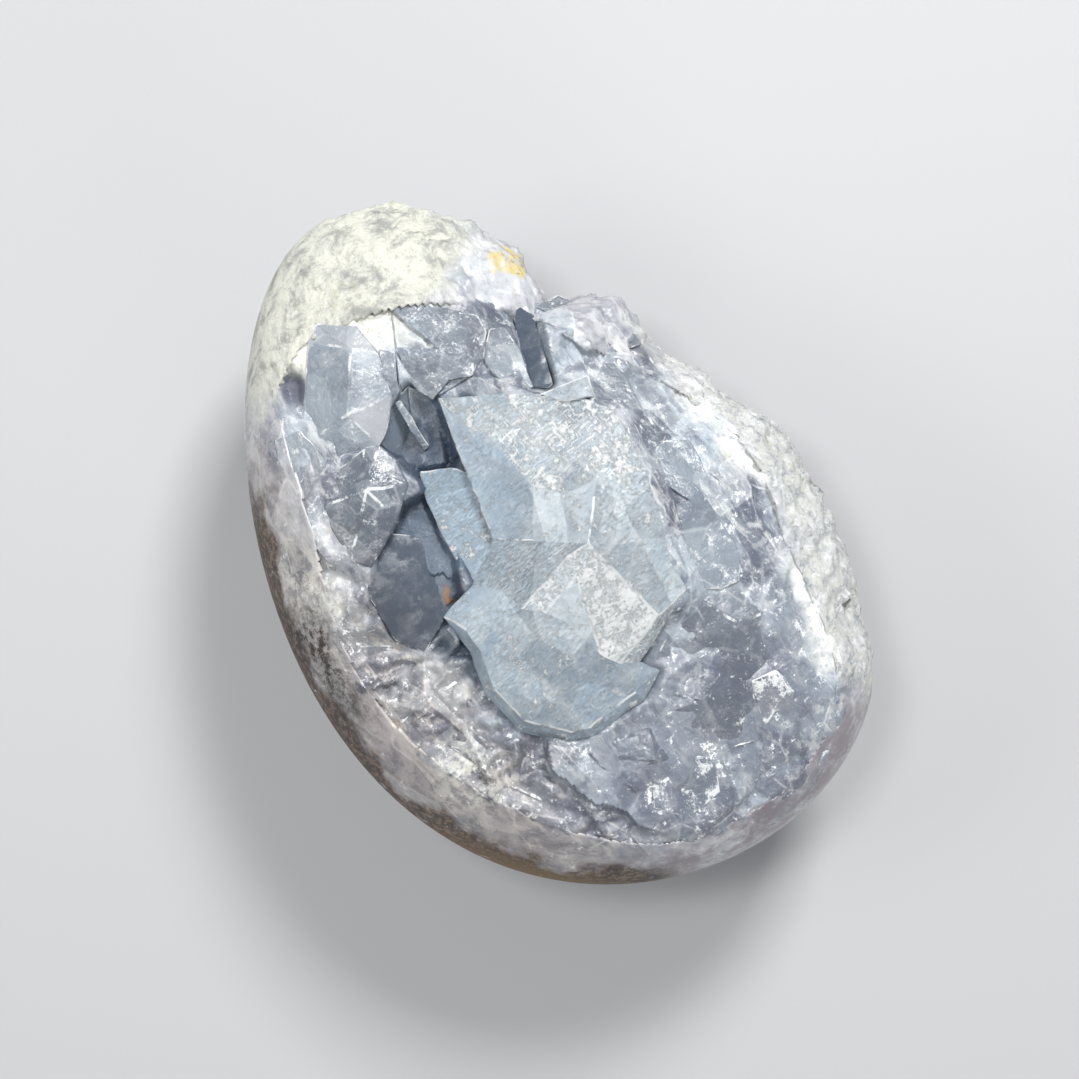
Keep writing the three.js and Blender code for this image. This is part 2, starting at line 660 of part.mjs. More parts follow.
function makeBlocks() {
  const random = randomFrom(29);
  const blocks = [];
  blockRings.forEach(({ reach, count }, ring) => {
    for (let i = 0; i < count; i += 1) {
      const turn = 2 * Math.PI * (i + 0.5 * ring + 0.5 * random()) / count;
      const x = hollowCentreX + blockRingWidth * reach * Math.cos(turn);
      const y = blockRingY + blockRingLength * reach * Math.sin(turn);
      const radius = blockRadius * (0.7 + 0.6 * random());
      const stretch = 1 + 0.7 * random();
      const spin = Math.PI * random();
      const lean = new THREE.Vector2(random() - 0.5, random() - 0.5).multiplyScalar(blockLean);
      const top = skinHeight(x, y) - blockDrop * (0.6 + 0.9 * random());
      const sides = 4 + Math.floor(3 * random());
      if (isTaken(x, y)) continue;
      const corners = [];
      for (let k = 0; k < sides; k += 1) {
        const angle = 2 * Math.PI * (k + 0.5 * random()) / sides;
        const u = radius * stretch * Math.cos(angle);
        const v = radius * Math.sin(angle) / stretch;
        const dx = u * Math.cos(spin) - v * Math.sin(spin);
        const dy = u * Math.sin(spin) + v * Math.cos(spin);
        const corner = pulledIn(x + dx, y + dy);
        const height = top + lean.x * dx + lean.y * dy;
        corners.push([...corner, Math.min(height, skinHeight(...corner) - blockLowest)]);
      }
      blocks.push(makeCrystal({ corners, foot: blockFoot, base: clusterBase }));
    }
  });
  return blocks;
}

function joined(solids) {
  return solids.reduce((sum, solid) => sum.add(solid));
}

// The one body of a solid, with any closed void inside it filled and loose chips dropped
function oneBody(solid) {
  return solid.decompose().reduce((best, piece) => (piece.volume() > best.volume() ? piece : best));
}

function makeStone() {
  const whole = joined([makeEgg(), ...rimLumps.map(makeCrystal)]);
  const below = solidOf(new THREE.BoxGeometry(120, 120, 20).translate(0, 0, -10));
  return oneBody(whole.subtract(joined([makeDish(0), below])));
}

function makeCrust() {
  const all = joined([makeGround(), makeCluster(), ...makeBlocks(), ...largeCrystals.map(makeCrystal)]);
  return oneBody(all.intersect(makeDish(seatGap)));
}

const stoneMaterial = new THREE.MeshStandardMaterial({ color: 0xb4b5b8, roughness: 0.35, metalness: 0 });
const crystalMaterial = new THREE.MeshStandardMaterial({ color: 0xa9bccb, roughness: 0.15, metalness: 0 });

function named(name, solid, material) {
  const mesh = new THREE.Mesh(geometryOf(solid), material);
  mesh.name = name;
  return mesh;
}

const geode = new THREE.Group();
geode.add(named('geode_stone', makeStone(), stoneMaterial));
geode.add(named('crystal_crust', makeCrust(), crystalMaterial));

export default geode;
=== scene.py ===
import math
import random

import bpy
import numpy as np
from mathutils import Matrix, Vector, noise
from mathutils.bvhtree import BVHTree


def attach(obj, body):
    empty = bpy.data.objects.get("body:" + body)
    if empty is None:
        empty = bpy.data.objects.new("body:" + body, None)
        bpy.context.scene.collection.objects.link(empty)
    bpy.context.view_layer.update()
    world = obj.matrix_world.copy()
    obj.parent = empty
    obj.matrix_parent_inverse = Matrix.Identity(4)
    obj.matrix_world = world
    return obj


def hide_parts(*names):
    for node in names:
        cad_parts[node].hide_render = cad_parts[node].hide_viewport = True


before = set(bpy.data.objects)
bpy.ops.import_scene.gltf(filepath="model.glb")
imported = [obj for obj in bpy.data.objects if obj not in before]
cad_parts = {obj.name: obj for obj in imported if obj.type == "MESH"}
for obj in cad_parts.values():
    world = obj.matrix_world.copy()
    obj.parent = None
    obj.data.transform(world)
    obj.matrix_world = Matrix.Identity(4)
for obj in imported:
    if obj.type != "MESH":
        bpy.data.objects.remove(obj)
chance = random.Random(5)
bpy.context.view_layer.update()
mm = 0.001

# Shape of the whole egg, as the solids have it, in millimetres
egg = {
    "length": 88,
    "width": 61,
    "backDepth": 26,
    "frontDepth": 20,
    "widestHeight": 25.5,
    "endTaper": 0.2,
    "depthTaper": 0.08,
    "bow": 3.4,
}

# Edge of the hollow in plan
hollowEdge = [
    (-5.5, 32.8), (0.4, 31), (7, 28.2), (11.2, 24.6), (13.8, 22.4), (16.4, 20.4),
    (17, 17), (18.6, 12.4), (21.8, 7.6), (24.1, 0.9), (25.6, -5.2), (24.6, -12),
    (22.2, -17.6), (20.6, -24.5), (18, -32.4), (13, -37.4), (6.2, -39.6), (-1.6, -38.6),
    (-9, -35.8), (-15, -29.6), (-19.6, -21.6), (-22.8, -12.5), (-24, -4.8), (-23.2, 2.4),
    (-20.6, 9.2), (-17.4, 15.6), (-15.2, 21.2), (-13.4, 26.4), (-10.4, 31),
]

# Recesses between the crystals, each with its own outline in plan and its depth
recesses = [
    {"depth": 3.4, "outline": [(-2.3, 21.4), (0.9, 21.9), (2.4, 18.6), (-0.4, 12.2), (-3.6, 10.4),
                               (-5, 14.6), (-5.7, 18.7)]},
    {"depth": 3.6, "outline": [(-3.6, 11), (-6.2, 7.3), (-7.2, 3.6), (-9.6, -0.6), (-16.5, -2.2),
                               (-18.3, 1), (-17.4, 6.1), (-13.3, 10.2), (-8.1, 12)]},
    {"depth": 1.8, "outline": [(-11.2, 28.4), (-10, 31.4), (-8, 31.9), (-8, 29.9), (-9.6, 27.8)]},
    {"depth": 3, "outline": [(16.6, 23), (17.4, 21.5), (17.2, 19.2), (15.6, 16), (13.6, 11.7), (12.6, 11.6),
                             (11.2, 13), (12.8, 17.4), (14.8, 20.8)]},
]

# Depth lost from the whole egg along its broken right rim, at places along its length
rimProfile = [
    (-44, 0.8), (-36, 1.4), (-30, 2.2), (-24, 1.7), (-16, 1.6), (-11, 0.8), (-6, 1.3), (-0.5, 2.7),
    (3, 2.2), (7.5, 3.8), (11, 2.8), (15.5, 1.2), (18.5, 2.8), (20.8, 6.4), (23, 5), (28, 2.3), (34, 1),
    (44, 0.8),
]

# The rough right rim: where it sets in across the egg and is complete, and how that line leans
rim = {"starts": 9, "complete": 21, "lean": 0.2, "steepest": 2.6}

hollow = {"centerX": 1, "centerY": -3, "wallHeight": 33, "footReach": 0.9, "floor": 30}


def smoothStep(low, high, value):
    t = np.clip((value - low) / (high - low), 0, 1)
    return t * t * (3 - 2 * t)


def eggPoints(directions):
    along = directions[:, 1]
    depth = np.where(directions[:, 2] < 0, egg["backDepth"], egg["frontDepth"])
    x = egg["bow"] * along ** 2
    x = x + egg["width"] / 2 * directions[:, 0] * (1 - egg["endTaper"] * along)
    y = egg["length"] / 2 * along
    z = egg["widestHeight"] + depth * directions[:, 2] * (1 - egg["depthTaper"] * along)
    return np.stack([x, y, z], 1)


def frontHeight(x, y):
    # Height of the whole egg's front surface above the floor
    along = y / (egg["length"] / 2)
    mid = egg["bow"] * along ** 2
    across = (x - mid) / (egg["width"] / 2 * (1 - egg["endTaper"] * along))
    rise = np.sqrt(np.maximum(0, 1 - along ** 2 - across ** 2))
    return egg["widestHeight"] + egg["frontDepth"] * rise * (1 - egg["depthTaper"] * along)


def lossAt(y):
    # How far the rough right rim stands back from the whole egg
    return np.interp(y, [place for place, loss in rimProfile], [loss for place, loss in rimProfile])


def rimShare(x, y):
    return smoothStep(rim["starts"], rim["complete"], x + rim["lean"] * y)


def skinHeight(x, y):
    # The front surface as it is now, with the rim's loss taken off
    nearby = 0.2
    height = frontHeight(x, y)
    slopeX = (frontHeight(x + nearby, y) - height) / nearby
    slopeY = (frontHeight(x, y + nearby) - height) / nearby
    steep = np.minimum(np.sqrt(1 + slopeX ** 2 + slopeY ** 2), rim["steepest"])
    return height - rimShare(x, y) * lossAt(y) * steep


def insideOf(outline, x, y):
    # Distance in from an outline, below zero outside
    ring = outline + outline[:1]
    best = np.full(x.shape, 1e9)
    crossings = np.zeros(x.shape, int)
    for (ax, ay), (bx, by) in zip(ring[:-1], ring[1:]):
        t = ((x - ax) * (bx - ax) + (y - ay) * (by - ay)) / ((bx - ax) ** 2 + (by - ay) ** 2)
        t = np.clip(t, 0, 1)
        best = np.minimum(best, np.hypot(x - ax - t * (bx - ax), y - ay - t * (by - ay)))
        spans = (ay > y) != (by > y)
        at = ax + (y - ay) / (by - ay if by != ay else 1e-9) * (bx - ax)
        crossings += (spans & (x < at)).astype(int)
    return np.where(crossings % 2 == 1, best, -best)


def floorHeight(x, y):
    # Height of the hollow's floor, rising to its wall near the edge; high up outside it
    edge = np.array(hollowEdge) - (hollow["centerX"], hollow["centerY"])
    turns = np.arctan2(edge[:, 1], edge[:, 0])
    order = np.argsort(turns)
    reach = np.interp(np.arctan2(y - hollow["centerY"], x - hollow["centerX"]), turns[order],
                      np.hypot(edge[:, 0], edge[:, 1])[order], period=2 * math.pi)
    share = np.hypot(x - hollow["centerX"], y - hollow["centerY"]) / reach
    return np.interp(share, [hollow["footReach"], 1, 1.0001], [hollow["floor"], hollow["wallHeight"], 99])


def noiseAt(points, size, octaves, seed):
    # Smooth noise between about -1 and 1 at each point
    shift = Vector((seed * 13.7, seed * 7.3, seed * 3.1))
    return np.array([noise.fractal(Vector(point) / size + shift, 1, 2, octaves) for point in points])


def patternShift(seed):
    return Vector((seed * 5.1, seed * 9.7, seed * 2.3))


def facetsAt(points, size, seed):
    # Broken facets: each cell of a random pattern is a tilted plane, and the higher stand over the lower
    side = 1.5  # how steeply a plane falls away past its own cell
    shift = patternShift(seed)
    out = np.zeros(len(points))
    for i, point in enumerate(points):
        spot = Vector(point) / size + shift
        distances, centers = noise.voronoi(spot)
        out[i] = max((spot - center).dot(noise.cell_vector(center * 7) * 2 - Vector((1, 1, 1)))
                     - side * (distance - distances[0]) for distance, center in zip(distances, centers))
    return out


def deselectAll():
    if bpy.context.object and bpy.context.object.mode != "OBJECT":
        bpy.ops.object.mode_set(mode="OBJECT")
    bpy.ops.object.select_all(action="DESELECT")


def makeActive(piece):
    deselectAll()
    bpy.context.view_layer.objects.active = piece
    piece.select_set(True)


def applyModifier(piece, kind, **settings):
    makeActive(piece)
    modifier = piece.modifiers.new(kind.lower(), kind)
    for key, value in settings.items():
        setattr(modifier, key, value)
    bpy.ops.object.modifier_apply(modifier=modifier.name)


def pointsOf(piece):
    flat = np.zeros(len(piece.data.vertices) * 3)
    piece.data.vertices.foreach_get("co", flat)
    return flat.reshape(-1, 3) / mm


def setPoints(piece, points):
    piece.data.vertices.foreach_set("co", (points * mm).astype(np.float32).ravel())
    piece.data.update()


# Materials


def paint(red, green, blue):
    # A colour read as 0 to 255 on screen, turned into light
    return tuple((c / 255 / 12.92) if c < 10.3 else ((c / 255 + 0.055) / 1.055) ** 2.4
                 for c in (red, green, blue))


def newMaterial(name):
    material = bpy.data.materials.new(name)
    material.use_nodes = True
    nodes = material.node_tree.nodes
    nodes.clear()
    output = nodes.new("ShaderNodeOutputMaterial")
    shader = nodes.new("ShaderNodeBsdfPrincipled")
    material.node_tree.links.new(shader.outputs["BSDF"], output.inputs["Surface"])
    return material, shader


class Graph:
    # Short ways to add the nodes of one material; sizes and places are in millimetres
    def __init__(self, material):
        self.tree = material.node_tree
        self.coordinates = self.tree.nodes.new("ShaderNodeTexCoord").outputs["Object"]

    def add(self, kind, inputs=None, **settings):
        node = self.tree.nodes.new(kind)
        for key, value in settings.items():
            setattr(node, key, value)
        for key, value in (inputs or {}).items():
            if isinstance(value, bpy.types.NodeSocket):
                self.tree.links.new(value, node.inputs[key])
            else:
                node.inputs[key].default_value = value
        return node

    def link(self, output, socket):
        self.tree.links.new(output, socket)

    def attribute(self, name):
        node = self.add("ShaderNodeAttribute", attribute_name=name, attribute_type="GEOMETRY")
        return node.outputs["Fac"]

    def noise(self, sizeMm, detail=3, rough=0.55, warp=0.0, vector=None):
        node = self.add("ShaderNodeTexNoise", {
            "Vector": vector or self.coordinates, "Scale": 1 / (sizeMm * mm),
            "Detail": detail, "Roughness": rough, "Distortion": warp})
        return node.outputs["Fac"]

    def cells(self, sizeMm, feature="F1", vector=None, output="Distance"):
        node = self.add("ShaderNodeTexVoronoi", {
            "Vector": vector or self.coordinates, "Scale": 1 / (sizeMm * mm)}, feature=feature)
        return node.outputs[output]

    def moved(self, amountMm, sizeMm):
        # Coordinates shaken by noise, so that edges wander
        color = self.add("ShaderNodeTexNoise", {
            "Vector": self.coordinates, "Scale": 1 / (sizeMm * mm), "Detail": 3}).outputs["Color"]
        shake = self.add("ShaderNodeVectorMath", {0: color, 1: (0.5, 0.5, 0.5)},
                         operation="SUBTRACT").outputs[0]
        scaled = self.add("ShaderNodeVectorMath", {0: shake, "Scale": 4 * amountMm * mm},
                          operation="SCALE").outputs[0]
        return self.add("ShaderNodeVectorMath", {0: self.coordinates, 1: scaled}).outputs[0]

    def stretched(self, turn, stretch):
        return self.add("ShaderNodeMapping", {
            "Vector": self.coordinates, "Rotation": turn, "Scale": stretch}).outputs[0]

    def math(self, operation, a, b):
        return self.add("ShaderNodeMath", {0: a, 1: b}, operation=operation).outputs[0]

    def times(self, a, b):
        return self.math("MULTIPLY", a, b)

    def plus(self, a, b):
        return self.math("ADD", a, b)

    def band(self, value, low, high, toLow=0, toHigh=1):
        node = self.add("ShaderNodeMapRange", {
            "Value": value, "From Min": low, "From Max": high, "To Min": toLow, "To Max": toHigh},
            interpolation_type="SMOOTHSTEP")
        return node.outputs["Result"]

    def mix(self, amount, a, b, blend="MIX"):
        node = self.add("ShaderNodeMix", data_type="RGBA", blend_type=blend)
        for socket, value in ((node.inputs[0], amount), (node.inputs[6], a), (node.inputs[7], b)):
            if isinstance(value, bpy.types.NodeSocket):
                self.link(value, socket)
            else:
                socket.default_value = (*value, 1) if isinstance(value, tuple) else value
        return node.outputs[2]

    def spot(self, center, radii, soft=0.35, vector=None):
        # 1 inside a stretched ball round a place in millimetres, 0 outside
        mapping = self.add("ShaderNodeMapping", {
            "Vector": vector or self.coordinates,
            "Location": tuple(-c / r for c, r in zip(center, radii)),
            "Scale": tuple(1 / (r * mm) for r in radii)})
        length = self.add("ShaderNodeVectorMath", {0: mapping.outputs[0]}, operation="LENGTH")
        return self.band(length.outputs["Value"], 1 + soft, 1 - soft)

    def anyOf(self, masks):
        whole = masks[0]
        for mask in masks[1:]:
            whole = self.math("MAXIMUM", whole, mask)
        return whole

    def dashes(self, share=0.66, spread=0.46):
        # Short bright strokes in two directions, more of them where the share and the spread are low; laid
        # over the crystals they are painted glints, and kept to the white faces they are etching
        one = self.noise(1.6, 3, 0.6, 0, self.stretched((0.4, 0.2, 0.6), (1, 4, 2)))
        two = self.noise(1.2, 3, 0.6, 0, self.stretched((0.1, 0.7, -0.7), (4, 1, 2)))
        strokes = self.anyOf([self.band(one, share, share + 0.04), self.band(two, share, share + 0.04)])
        return self.times(strokes, self.band(self.noise(5, 3), spread, spread + 0.1))

    def flecks(self, amount, sizeMm=0.9):
        # Crisp white flecks of many sizes, thicker where the amount is high: white grains and etching, with
        # painted glints among them
        fine = self.noise(sizeMm, 9, 0.88)
        patches = self.noise(sizeMm * 3.2, 5, 0.7, 0.4)
        whole = self.plus(fine, self.times(patches, 0.7))
        return self.band(self.plus(whole, self.times(amount, 0.2)), 1.0, 1.04)

    def bump(self, height, distanceMm, strength=1):
        return self.add("ShaderNodeBump", {
            "Height": height, "Distance": distanceMm * mm, "Strength": strength}).outputs["Normal"]

    def over(self, color, tone, mask):
        # A tone laid over the colour where the mask is high
        return self.mix(mask, color, tones[tone])

    def blotched(self, color, finish):
        for tone, grain, low, high, amount in blotches[finish]:
            color = self.over(color, tone, self.band(self.noise(*grain), low, high, 0, amount))
        return color

    def grain(self, sizeMm):
        # Noise drawn out along the polished side
        return self.noise(sizeMm, 7, 0.75, 0.3, self.stretched((0, 0, 0.15), (1, 0.3, 1)))

    def depth(self):
        # About 1 on the whole egg's front surface, and less the deeper it goes
        mapping = self.add("ShaderNodeMapping", {
            "Vector": self.coordinates,
            "Location": (-0.04, 0, -egg["widestHeight"] / egg["frontDepth"]),
            "Scale": (2 / (egg["width"] * mm), 2 / (egg["length"] * mm), 1 / (egg["frontDepth"] * mm))})
        length = self.add("ShaderNodeVectorMath", {0: mapping.outputs[0]}, operation="LENGTH")
        return length.outputs["Value"]


tones = {
    "ash": paint(128, 134, 143), "cloud": paint(200, 200, 204), "dusk": paint(98, 103, 117),
    "haze": paint(160, 169, 178), "blue": paint(164, 179, 193), "smoke": paint(104, 107, 120),
    "slate": paint(92, 106, 122), "night": paint(70, 82, 98), "chalk": paint(232, 232, 219),
    "chalkGrey": paint(166, 167, 163), "lichen": paint(196, 198, 150), "sugar": paint(246, 248, 248),
    "grain": paint(224, 225, 221), "rindDark": paint(58, 44, 35), "rindLight": paint(146, 124, 102),
    "gold": paint(128, 98, 46), "stain": paint(214, 196, 130), "rust": paint(140, 100, 60),
    "plum": paint(132, 124, 130), "warm": paint(236, 226, 219), "deepBlue": paint(174, 194, 209),
    "paleBlue": paint(222, 233, 239), "ice": paint(236, 243, 246),
}
celestiteIor = 1.62
clearCrystal = {"transmission": 0.25, "absorbColor": (0.7, 0.81, 0.9, 1), "absorbDensity": 7}


# The zones that the stone and the crust share, so that their colours meet: stretched balls, each with
# its middle and radii in millimetres and how soft its edge is
zoneSpots = {
    "head": [((5, 38, 38), (20, 11.5, 16), 0.2), ((-9, 37, 31), (9, 7, 12), 0.4)],
    "lower": [((1, -28, 38), (16, 10, 10), 0.4)],
    "west": [((-25, -8, 30), (13, 42, 20), 0.4)],
    "rim": [((30, -8, 34), (6.4, 20, 14), 0.3), ((24, -30, 33), (6.6, 12, 12), 0.3),
            ((27, 7, 31), (3.4, 5, 8), 0.4)],
    "cream": [((-21.5, -17, 36), (3.4, 5, 6), 0.5), ((-22.5, 12, 36), (3.4, 5, 6), 0.5)],
    "patch": [((-26, 4, 33), (3, 8, 6), 0.5)],
    "stain": [((18.2, 26, 29), (1.5, 2.6, 6), 0.3)],
}

# Blotches of each finish: the tone, the noise's size in millimetres, detail, roughness and warp,
# where a blotch sets in and is full, and how strong it is
blotches = {
    "crystal": [("cloud", (2.4, 7, 0.74, 0.7), 0.52, 0.6, 0.55),
                ("smoke", (1.9, 7, 0.76, 0.5), 0.45, 0.37, 0.45)],
    "chalk": [("lichen", (5, 6, 0.75, 0.3), 0.56, 0.68, 0.5), ("ash", (0.5, 4, 0.7), 0.4, 0.34, 0.5)],
    "sugar": [("chalk", (3, 5, 0.7), 0.54, 0.66, 0.5), ("lichen", (4.2, 6, 0.7), 0.58, 0.66, 0.35)],
    "stone": [("blue", (11, 4, 0.6, 0.6), 0.52, 0.62, 0.2)],
    "crust": [("smoke", (0.35, 3, 0.6), 0.68, 0.72, 0.6)],
    "greySpecks": [("smoke", (0.35, 3, 0.6), 0.69, 0.73, 0.4)],
    "pale": [("ice", (2, 7, 0.76, 0.6), 0.52, 0.62, 0.5), ("blue", (2.6, 7, 0.74, 0.6), 0.44, 0.36, 0.4)],
    "paleSpecks": [("smoke", (0.3, 2, 0.5), 0.74, 0.78, 0.6)],
}


def zones(g):
    shaken = g.moved(2.4, 5)
    found = {name: g.anyOf([g.spot(*spot, shaken) for spot in spots]) for name, spots in zoneSpots.items()}
    found["cream"] = g.times(found["cream"], g.band(g.noise(1.6, 7, 0.8), 0.46, 0.54))
    found["rind"] = rindBand(g, shaken)
    return found


def rindBand(g, shaken):
    # The weathered skin left along the widest part of the left side
    parts = g.add("ShaderNodeSeparateXYZ", {"Vector": shaken}).outputs
    upper = g.band(parts[2], 34.2 * mm, 31.8 * mm)
    lower = g.band(parts[2], 12 * mm, 17 * mm)
    left = g.band(parts[0], -8 * mm, -15 * mm)
    low = g.band(parts[1], 28 * mm, 20 * mm)
    return g.times(g.times(upper, lower), g.times(left, low))


def recessShadeShare(g):
    # How deep in a recess, not counting the notch in the rim: the share of painted shade laid on the
    # crystal colours there
    notch = g.spot((19, 16, 33), (8, 9, 12), 0.3)
    return g.times(g.band(g.depth(), 0.87, 0.79), g.math("SUBTRACT", 1, notch))


def innerPlanes(g, color, sizeMm, amount):
    # Planes inside the crystal: each straight-sided cell a little lighter or darker, its edge a thin line
    turned = g.stretched((0.3, 0.2, 0.5), (1, 0.55, 1))
    shift = g.cells(sizeMm, "F1", turned, "Color")
    color = g.over(color, "ice", g.band(shift, 0.55, 0.75, 0, amount))
    color = g.over(color, "smoke", g.band(shift, 0.45, 0.3, 0, amount))
    line = g.band(g.cells(sizeMm, "DISTANCE_TO_EDGE", turned), 0.035, 0.01)
    line = g.times(line, g.band(g.noise(3, 4), 0.48, 0.58))
    return g.over(color, "sugar", g.times(line, 0.35))


def crystalColor(g, dark, light, tone=None):
    # Cloudy crystal: soft clouds, blotches with firmer edges, and smoky hollows
    clouds = g.noise(6, 5, 0.62, 0.7)
    if tone:
        clouds = g.plus(clouds, g.times(g.math("SUBTRACT", tone, 0.5), 0.26))
    color = g.mix(g.band(clouds, 0.36, 0.64), dark, light)
    return innerPlanes(g, g.blotched(color, "crystal"), 4.2, 0.24)


def chalkColor(g):
    color = g.mix(g.band(g.noise(3.4, 8, 0.78, 0.4), 0.36, 0.56), tones["chalkGrey"], tones["chalk"])
    return g.blotched(color, "chalk")


def sugarColor(g):
    color = g.mix(g.band(g.noise(1.3, 8, 0.82), 0.38, 0.52), tones["haze"], tones["grain"])
    return g.over(g.blotched(color, "sugar"), "sugar", g.flecks(0.6, 0.7))


def makeStoneMaterial():
    material, shader = newMaterial("massiveCelestite")
    g = Graph(material)
    zone = zones(g)
    color = crystalColor(g, tones["ash"], tones["cloud"])
    color = g.blotched(color, "stone")
    grain = g.grain(1.7)
    color = g.over(color, "grain", g.band(grain, 0.52, 0.62, 0, 0.45))
    color = g.over(color, "plum", g.band(grain, 0.46, 0.38, 0, 0.4))
    color = g.mix(zone["west"], color, tones["warm"], "MULTIPLY")
    low = g.times(g.spot((0, -42, 26), (26, 12, 14), 0.4), g.band(g.noise(5, 6, 0.7), 0.36, 0.6))
    color = g.over(color, "plum", low)
    color = g.over(color, "sugar", g.times(g.flecks(0.08, 1.6), 0.7))
    color = g.mix(zone["head"], color, chalkColor(g))
    color = g.mix(zone["rim"], color, sugarColor(g))
    brown = g.mix(g.band(g.noise(0.8, 7, 0.8), 0.46, 0.6), tones["rindDark"], tones["rindLight"])
    brown = g.over(brown, "gold", g.spot((-20, -26, 22), (14, 14, 10), 0.3))
    color = g.over(color, "chalk", g.times(zone["cream"], 0.5))
    rindEdge = g.times(zone["rind"], g.band(g.noise(2.6, 6, 0.75), 0.34, 0.42))
    color = g.mix(g.times(rindEdge, 0.92), color, brown)
    patch = g.times(zone["patch"], g.band(g.noise(1.2, 7, 0.8), 0.44, 0.56))
    color = g.over(color, "rindDark", patch)
    stain = g.mix(g.band(g.noise(0.8, 6, 0.7), 0.54, 0.66), tones["stain"], tones["rust"])
    color = g.mix(g.times(zone["stain"], g.band(g.noise(1.1, 4), 0.34, 0.48)), color, stain)
    g.link(color, shader.inputs["Base Color"])
    dull = g.anyOf([g.times(zone["head"], 0.7), zone["rim"], zone["rind"], zone["patch"]])
    g.link(g.band(dull, 0, 1, 0.16, 0.6), shader.inputs["Roughness"])
    fine = g.plus(g.noise(0.6, 6, 0.75), g.times(g.noise(2.2, 4), 0.8))
    coarse = g.times(fine, g.band(dull, 0, 1, 0.1, 1))
    g.link(g.bump(coarse, 0.5), shader.inputs["Normal"])
    shader.inputs["IOR"].default_value = celestiteIor
    return material


def makeCrustMaterial():
    # Broken grey-lilac crystal, dark where it lies deep
    material, shader = newMaterial("brokenCrystal")
    g = Graph(material)
    zone = zones(g)
    tone = g.attribute("tone")
    color = crystalColor(g, tones["dusk"], tones["haze"], tone)
    color = g.over(color, "blue", g.band(tone, 0.6, 0.8, 0, 0.2))
    grain = g.grain(1.5)
    color = g.over(color, "grain", g.band(grain, 0.52, 0.62, 0, 0.5))
    color = g.over(color, "dusk", g.band(grain, 0.46, 0.38, 0, 0.5))
    deep = recessShadeShare(g)
    # Painted shade: the colour darkened towards night and slate deep in the recesses
    color = g.mix(deep, color, g.mix(g.band(tone, 0.3, 0.7), tones["night"], tones["slate"]))
    color = g.over(color, "dusk", g.times(zone["lower"], 0.6))
    color = g.mix(zone["west"], color, tones["warm"], "MULTIPLY")
    # White flecks and strokes: etched grains with painted glints among them, fewer deep in the recesses
    flecksAndGlints = g.anyOf([g.flecks(0.26, 0.9), g.times(g.dashes(0.67), 0.9)])
    flecksAndGlints = g.times(flecksAndGlints, g.band(deep, 0, 1, 1, 0.12))
    color = g.over(color, "sugar", flecksAndGlints)
    color = g.over(color, "chalk", g.times(zone["cream"], 0.5))
    color = g.mix(zone["head"], color, chalkColor(g))
    color = g.mix(zone["rim"], color, sugarColor(g))
    color = g.blotched(color, "crust")
    # Painted shade in the small pit at the upper left
    color = g.over(color, "smoke", g.spot((-9.4, 30, 37), (1.6, 2, 4), 0.3))
    brown = g.spot((-10.4, 1, 36), (0.5, 1.4, 4), 0.4, g.moved(0.6, 1.5))
    color = g.over(color, "rust", g.times(brown, 0.8))
    g.link(color, shader.inputs["Base Color"])
    g.link(g.band(g.noise(1.8, 4), 0.36, 0.64, 0.08, 0.4), shader.inputs["Roughness"])
    fine = g.plus(g.noise(1.1, 6, 0.7), g.times(g.cells(1.6), 0.3))
    g.link(g.bump(fine, 0.2, 0.8), shader.inputs["Normal"])
    shader.inputs["IOR"].default_value = celestiteIor
    return material


def makeGreyCrystalMaterial():
    material, shader = newMaterial("greyCrystal")
    g = Graph(material)
    zone = zones(g)
    tone = g.attribute("tone")
    color = crystalColor(g, tones["ash"], tones["haze"], tone)
    color = g.over(color, "blue", g.band(tone, 0.5, 0.7, 0, 0.25))
    color = g.over(color, "cloud", g.band(tone, 0.7, 0.95, 0, 0.65))
    # Darkened towards night and slate: painted shade deep in the recesses, together with each crystal's own
    # shade attribute
    deep = g.anyOf([g.attribute("shade"), g.times(recessShadeShare(g), 0.5)])
    color = g.mix(deep, color, g.mix(g.band(tone, 0.3, 0.7), tones["night"], tones["slate"]))
    color = g.over(color, "dusk", g.times(zone["lower"], 0.55))
    color = g.mix(zone["west"], color, tones["warm"], "MULTIPLY")
    # White flecks and strokes: etched grains with painted glints among them, fewer where the crystal is
    # shaded
    flecksAndGlints = g.anyOf([g.flecks(g.attribute("white"), 0.7), g.times(g.dashes(0.67), 0.9)])
    flecksAndGlints = g.times(flecksAndGlints, g.band(deep, 0, 1, 1, 0.1))
    color = g.over(color, "sugar", flecksAndGlints)
    color = g.mix(g.times(zone["rim"], 0.6), color, sugarColor(g))
    # Frosted edges, white partly as a painted highlight
    color = g.over(color, "sugar", frostAndHighlightShare(g, 0.5, 0.6))
    color = g.blotched(color, "greySpecks")
    g.link(color, shader.inputs["Base Color"])
    g.link(g.band(g.noise(2.2, 5, 0.7), 0.34, 0.66, 0.07, 0.34), shader.inputs["Roughness"])
    fine = g.plus(g.noise(1.3, 5, 0.62), g.times(g.noise(0.3, 2), 0.3))
    fine = g.times(fine, g.band(g.attribute("shade"), 0, 1, 1, 0.1))
    g.link(g.bump(fine, 0.2, 0.9), shader.inputs["Normal"])
    makeClear(g, shader)
    return material


def frostAndHighlightShare(g, low, high):
    # Worn, frosted crystal edges with a painted highlight along them are white in stretches and clear
    # between them
    return g.times(g.attribute("frostAndHighlight"), g.band(g.noise(2.2, 4, 0.6), low, high, 0, 0.9))


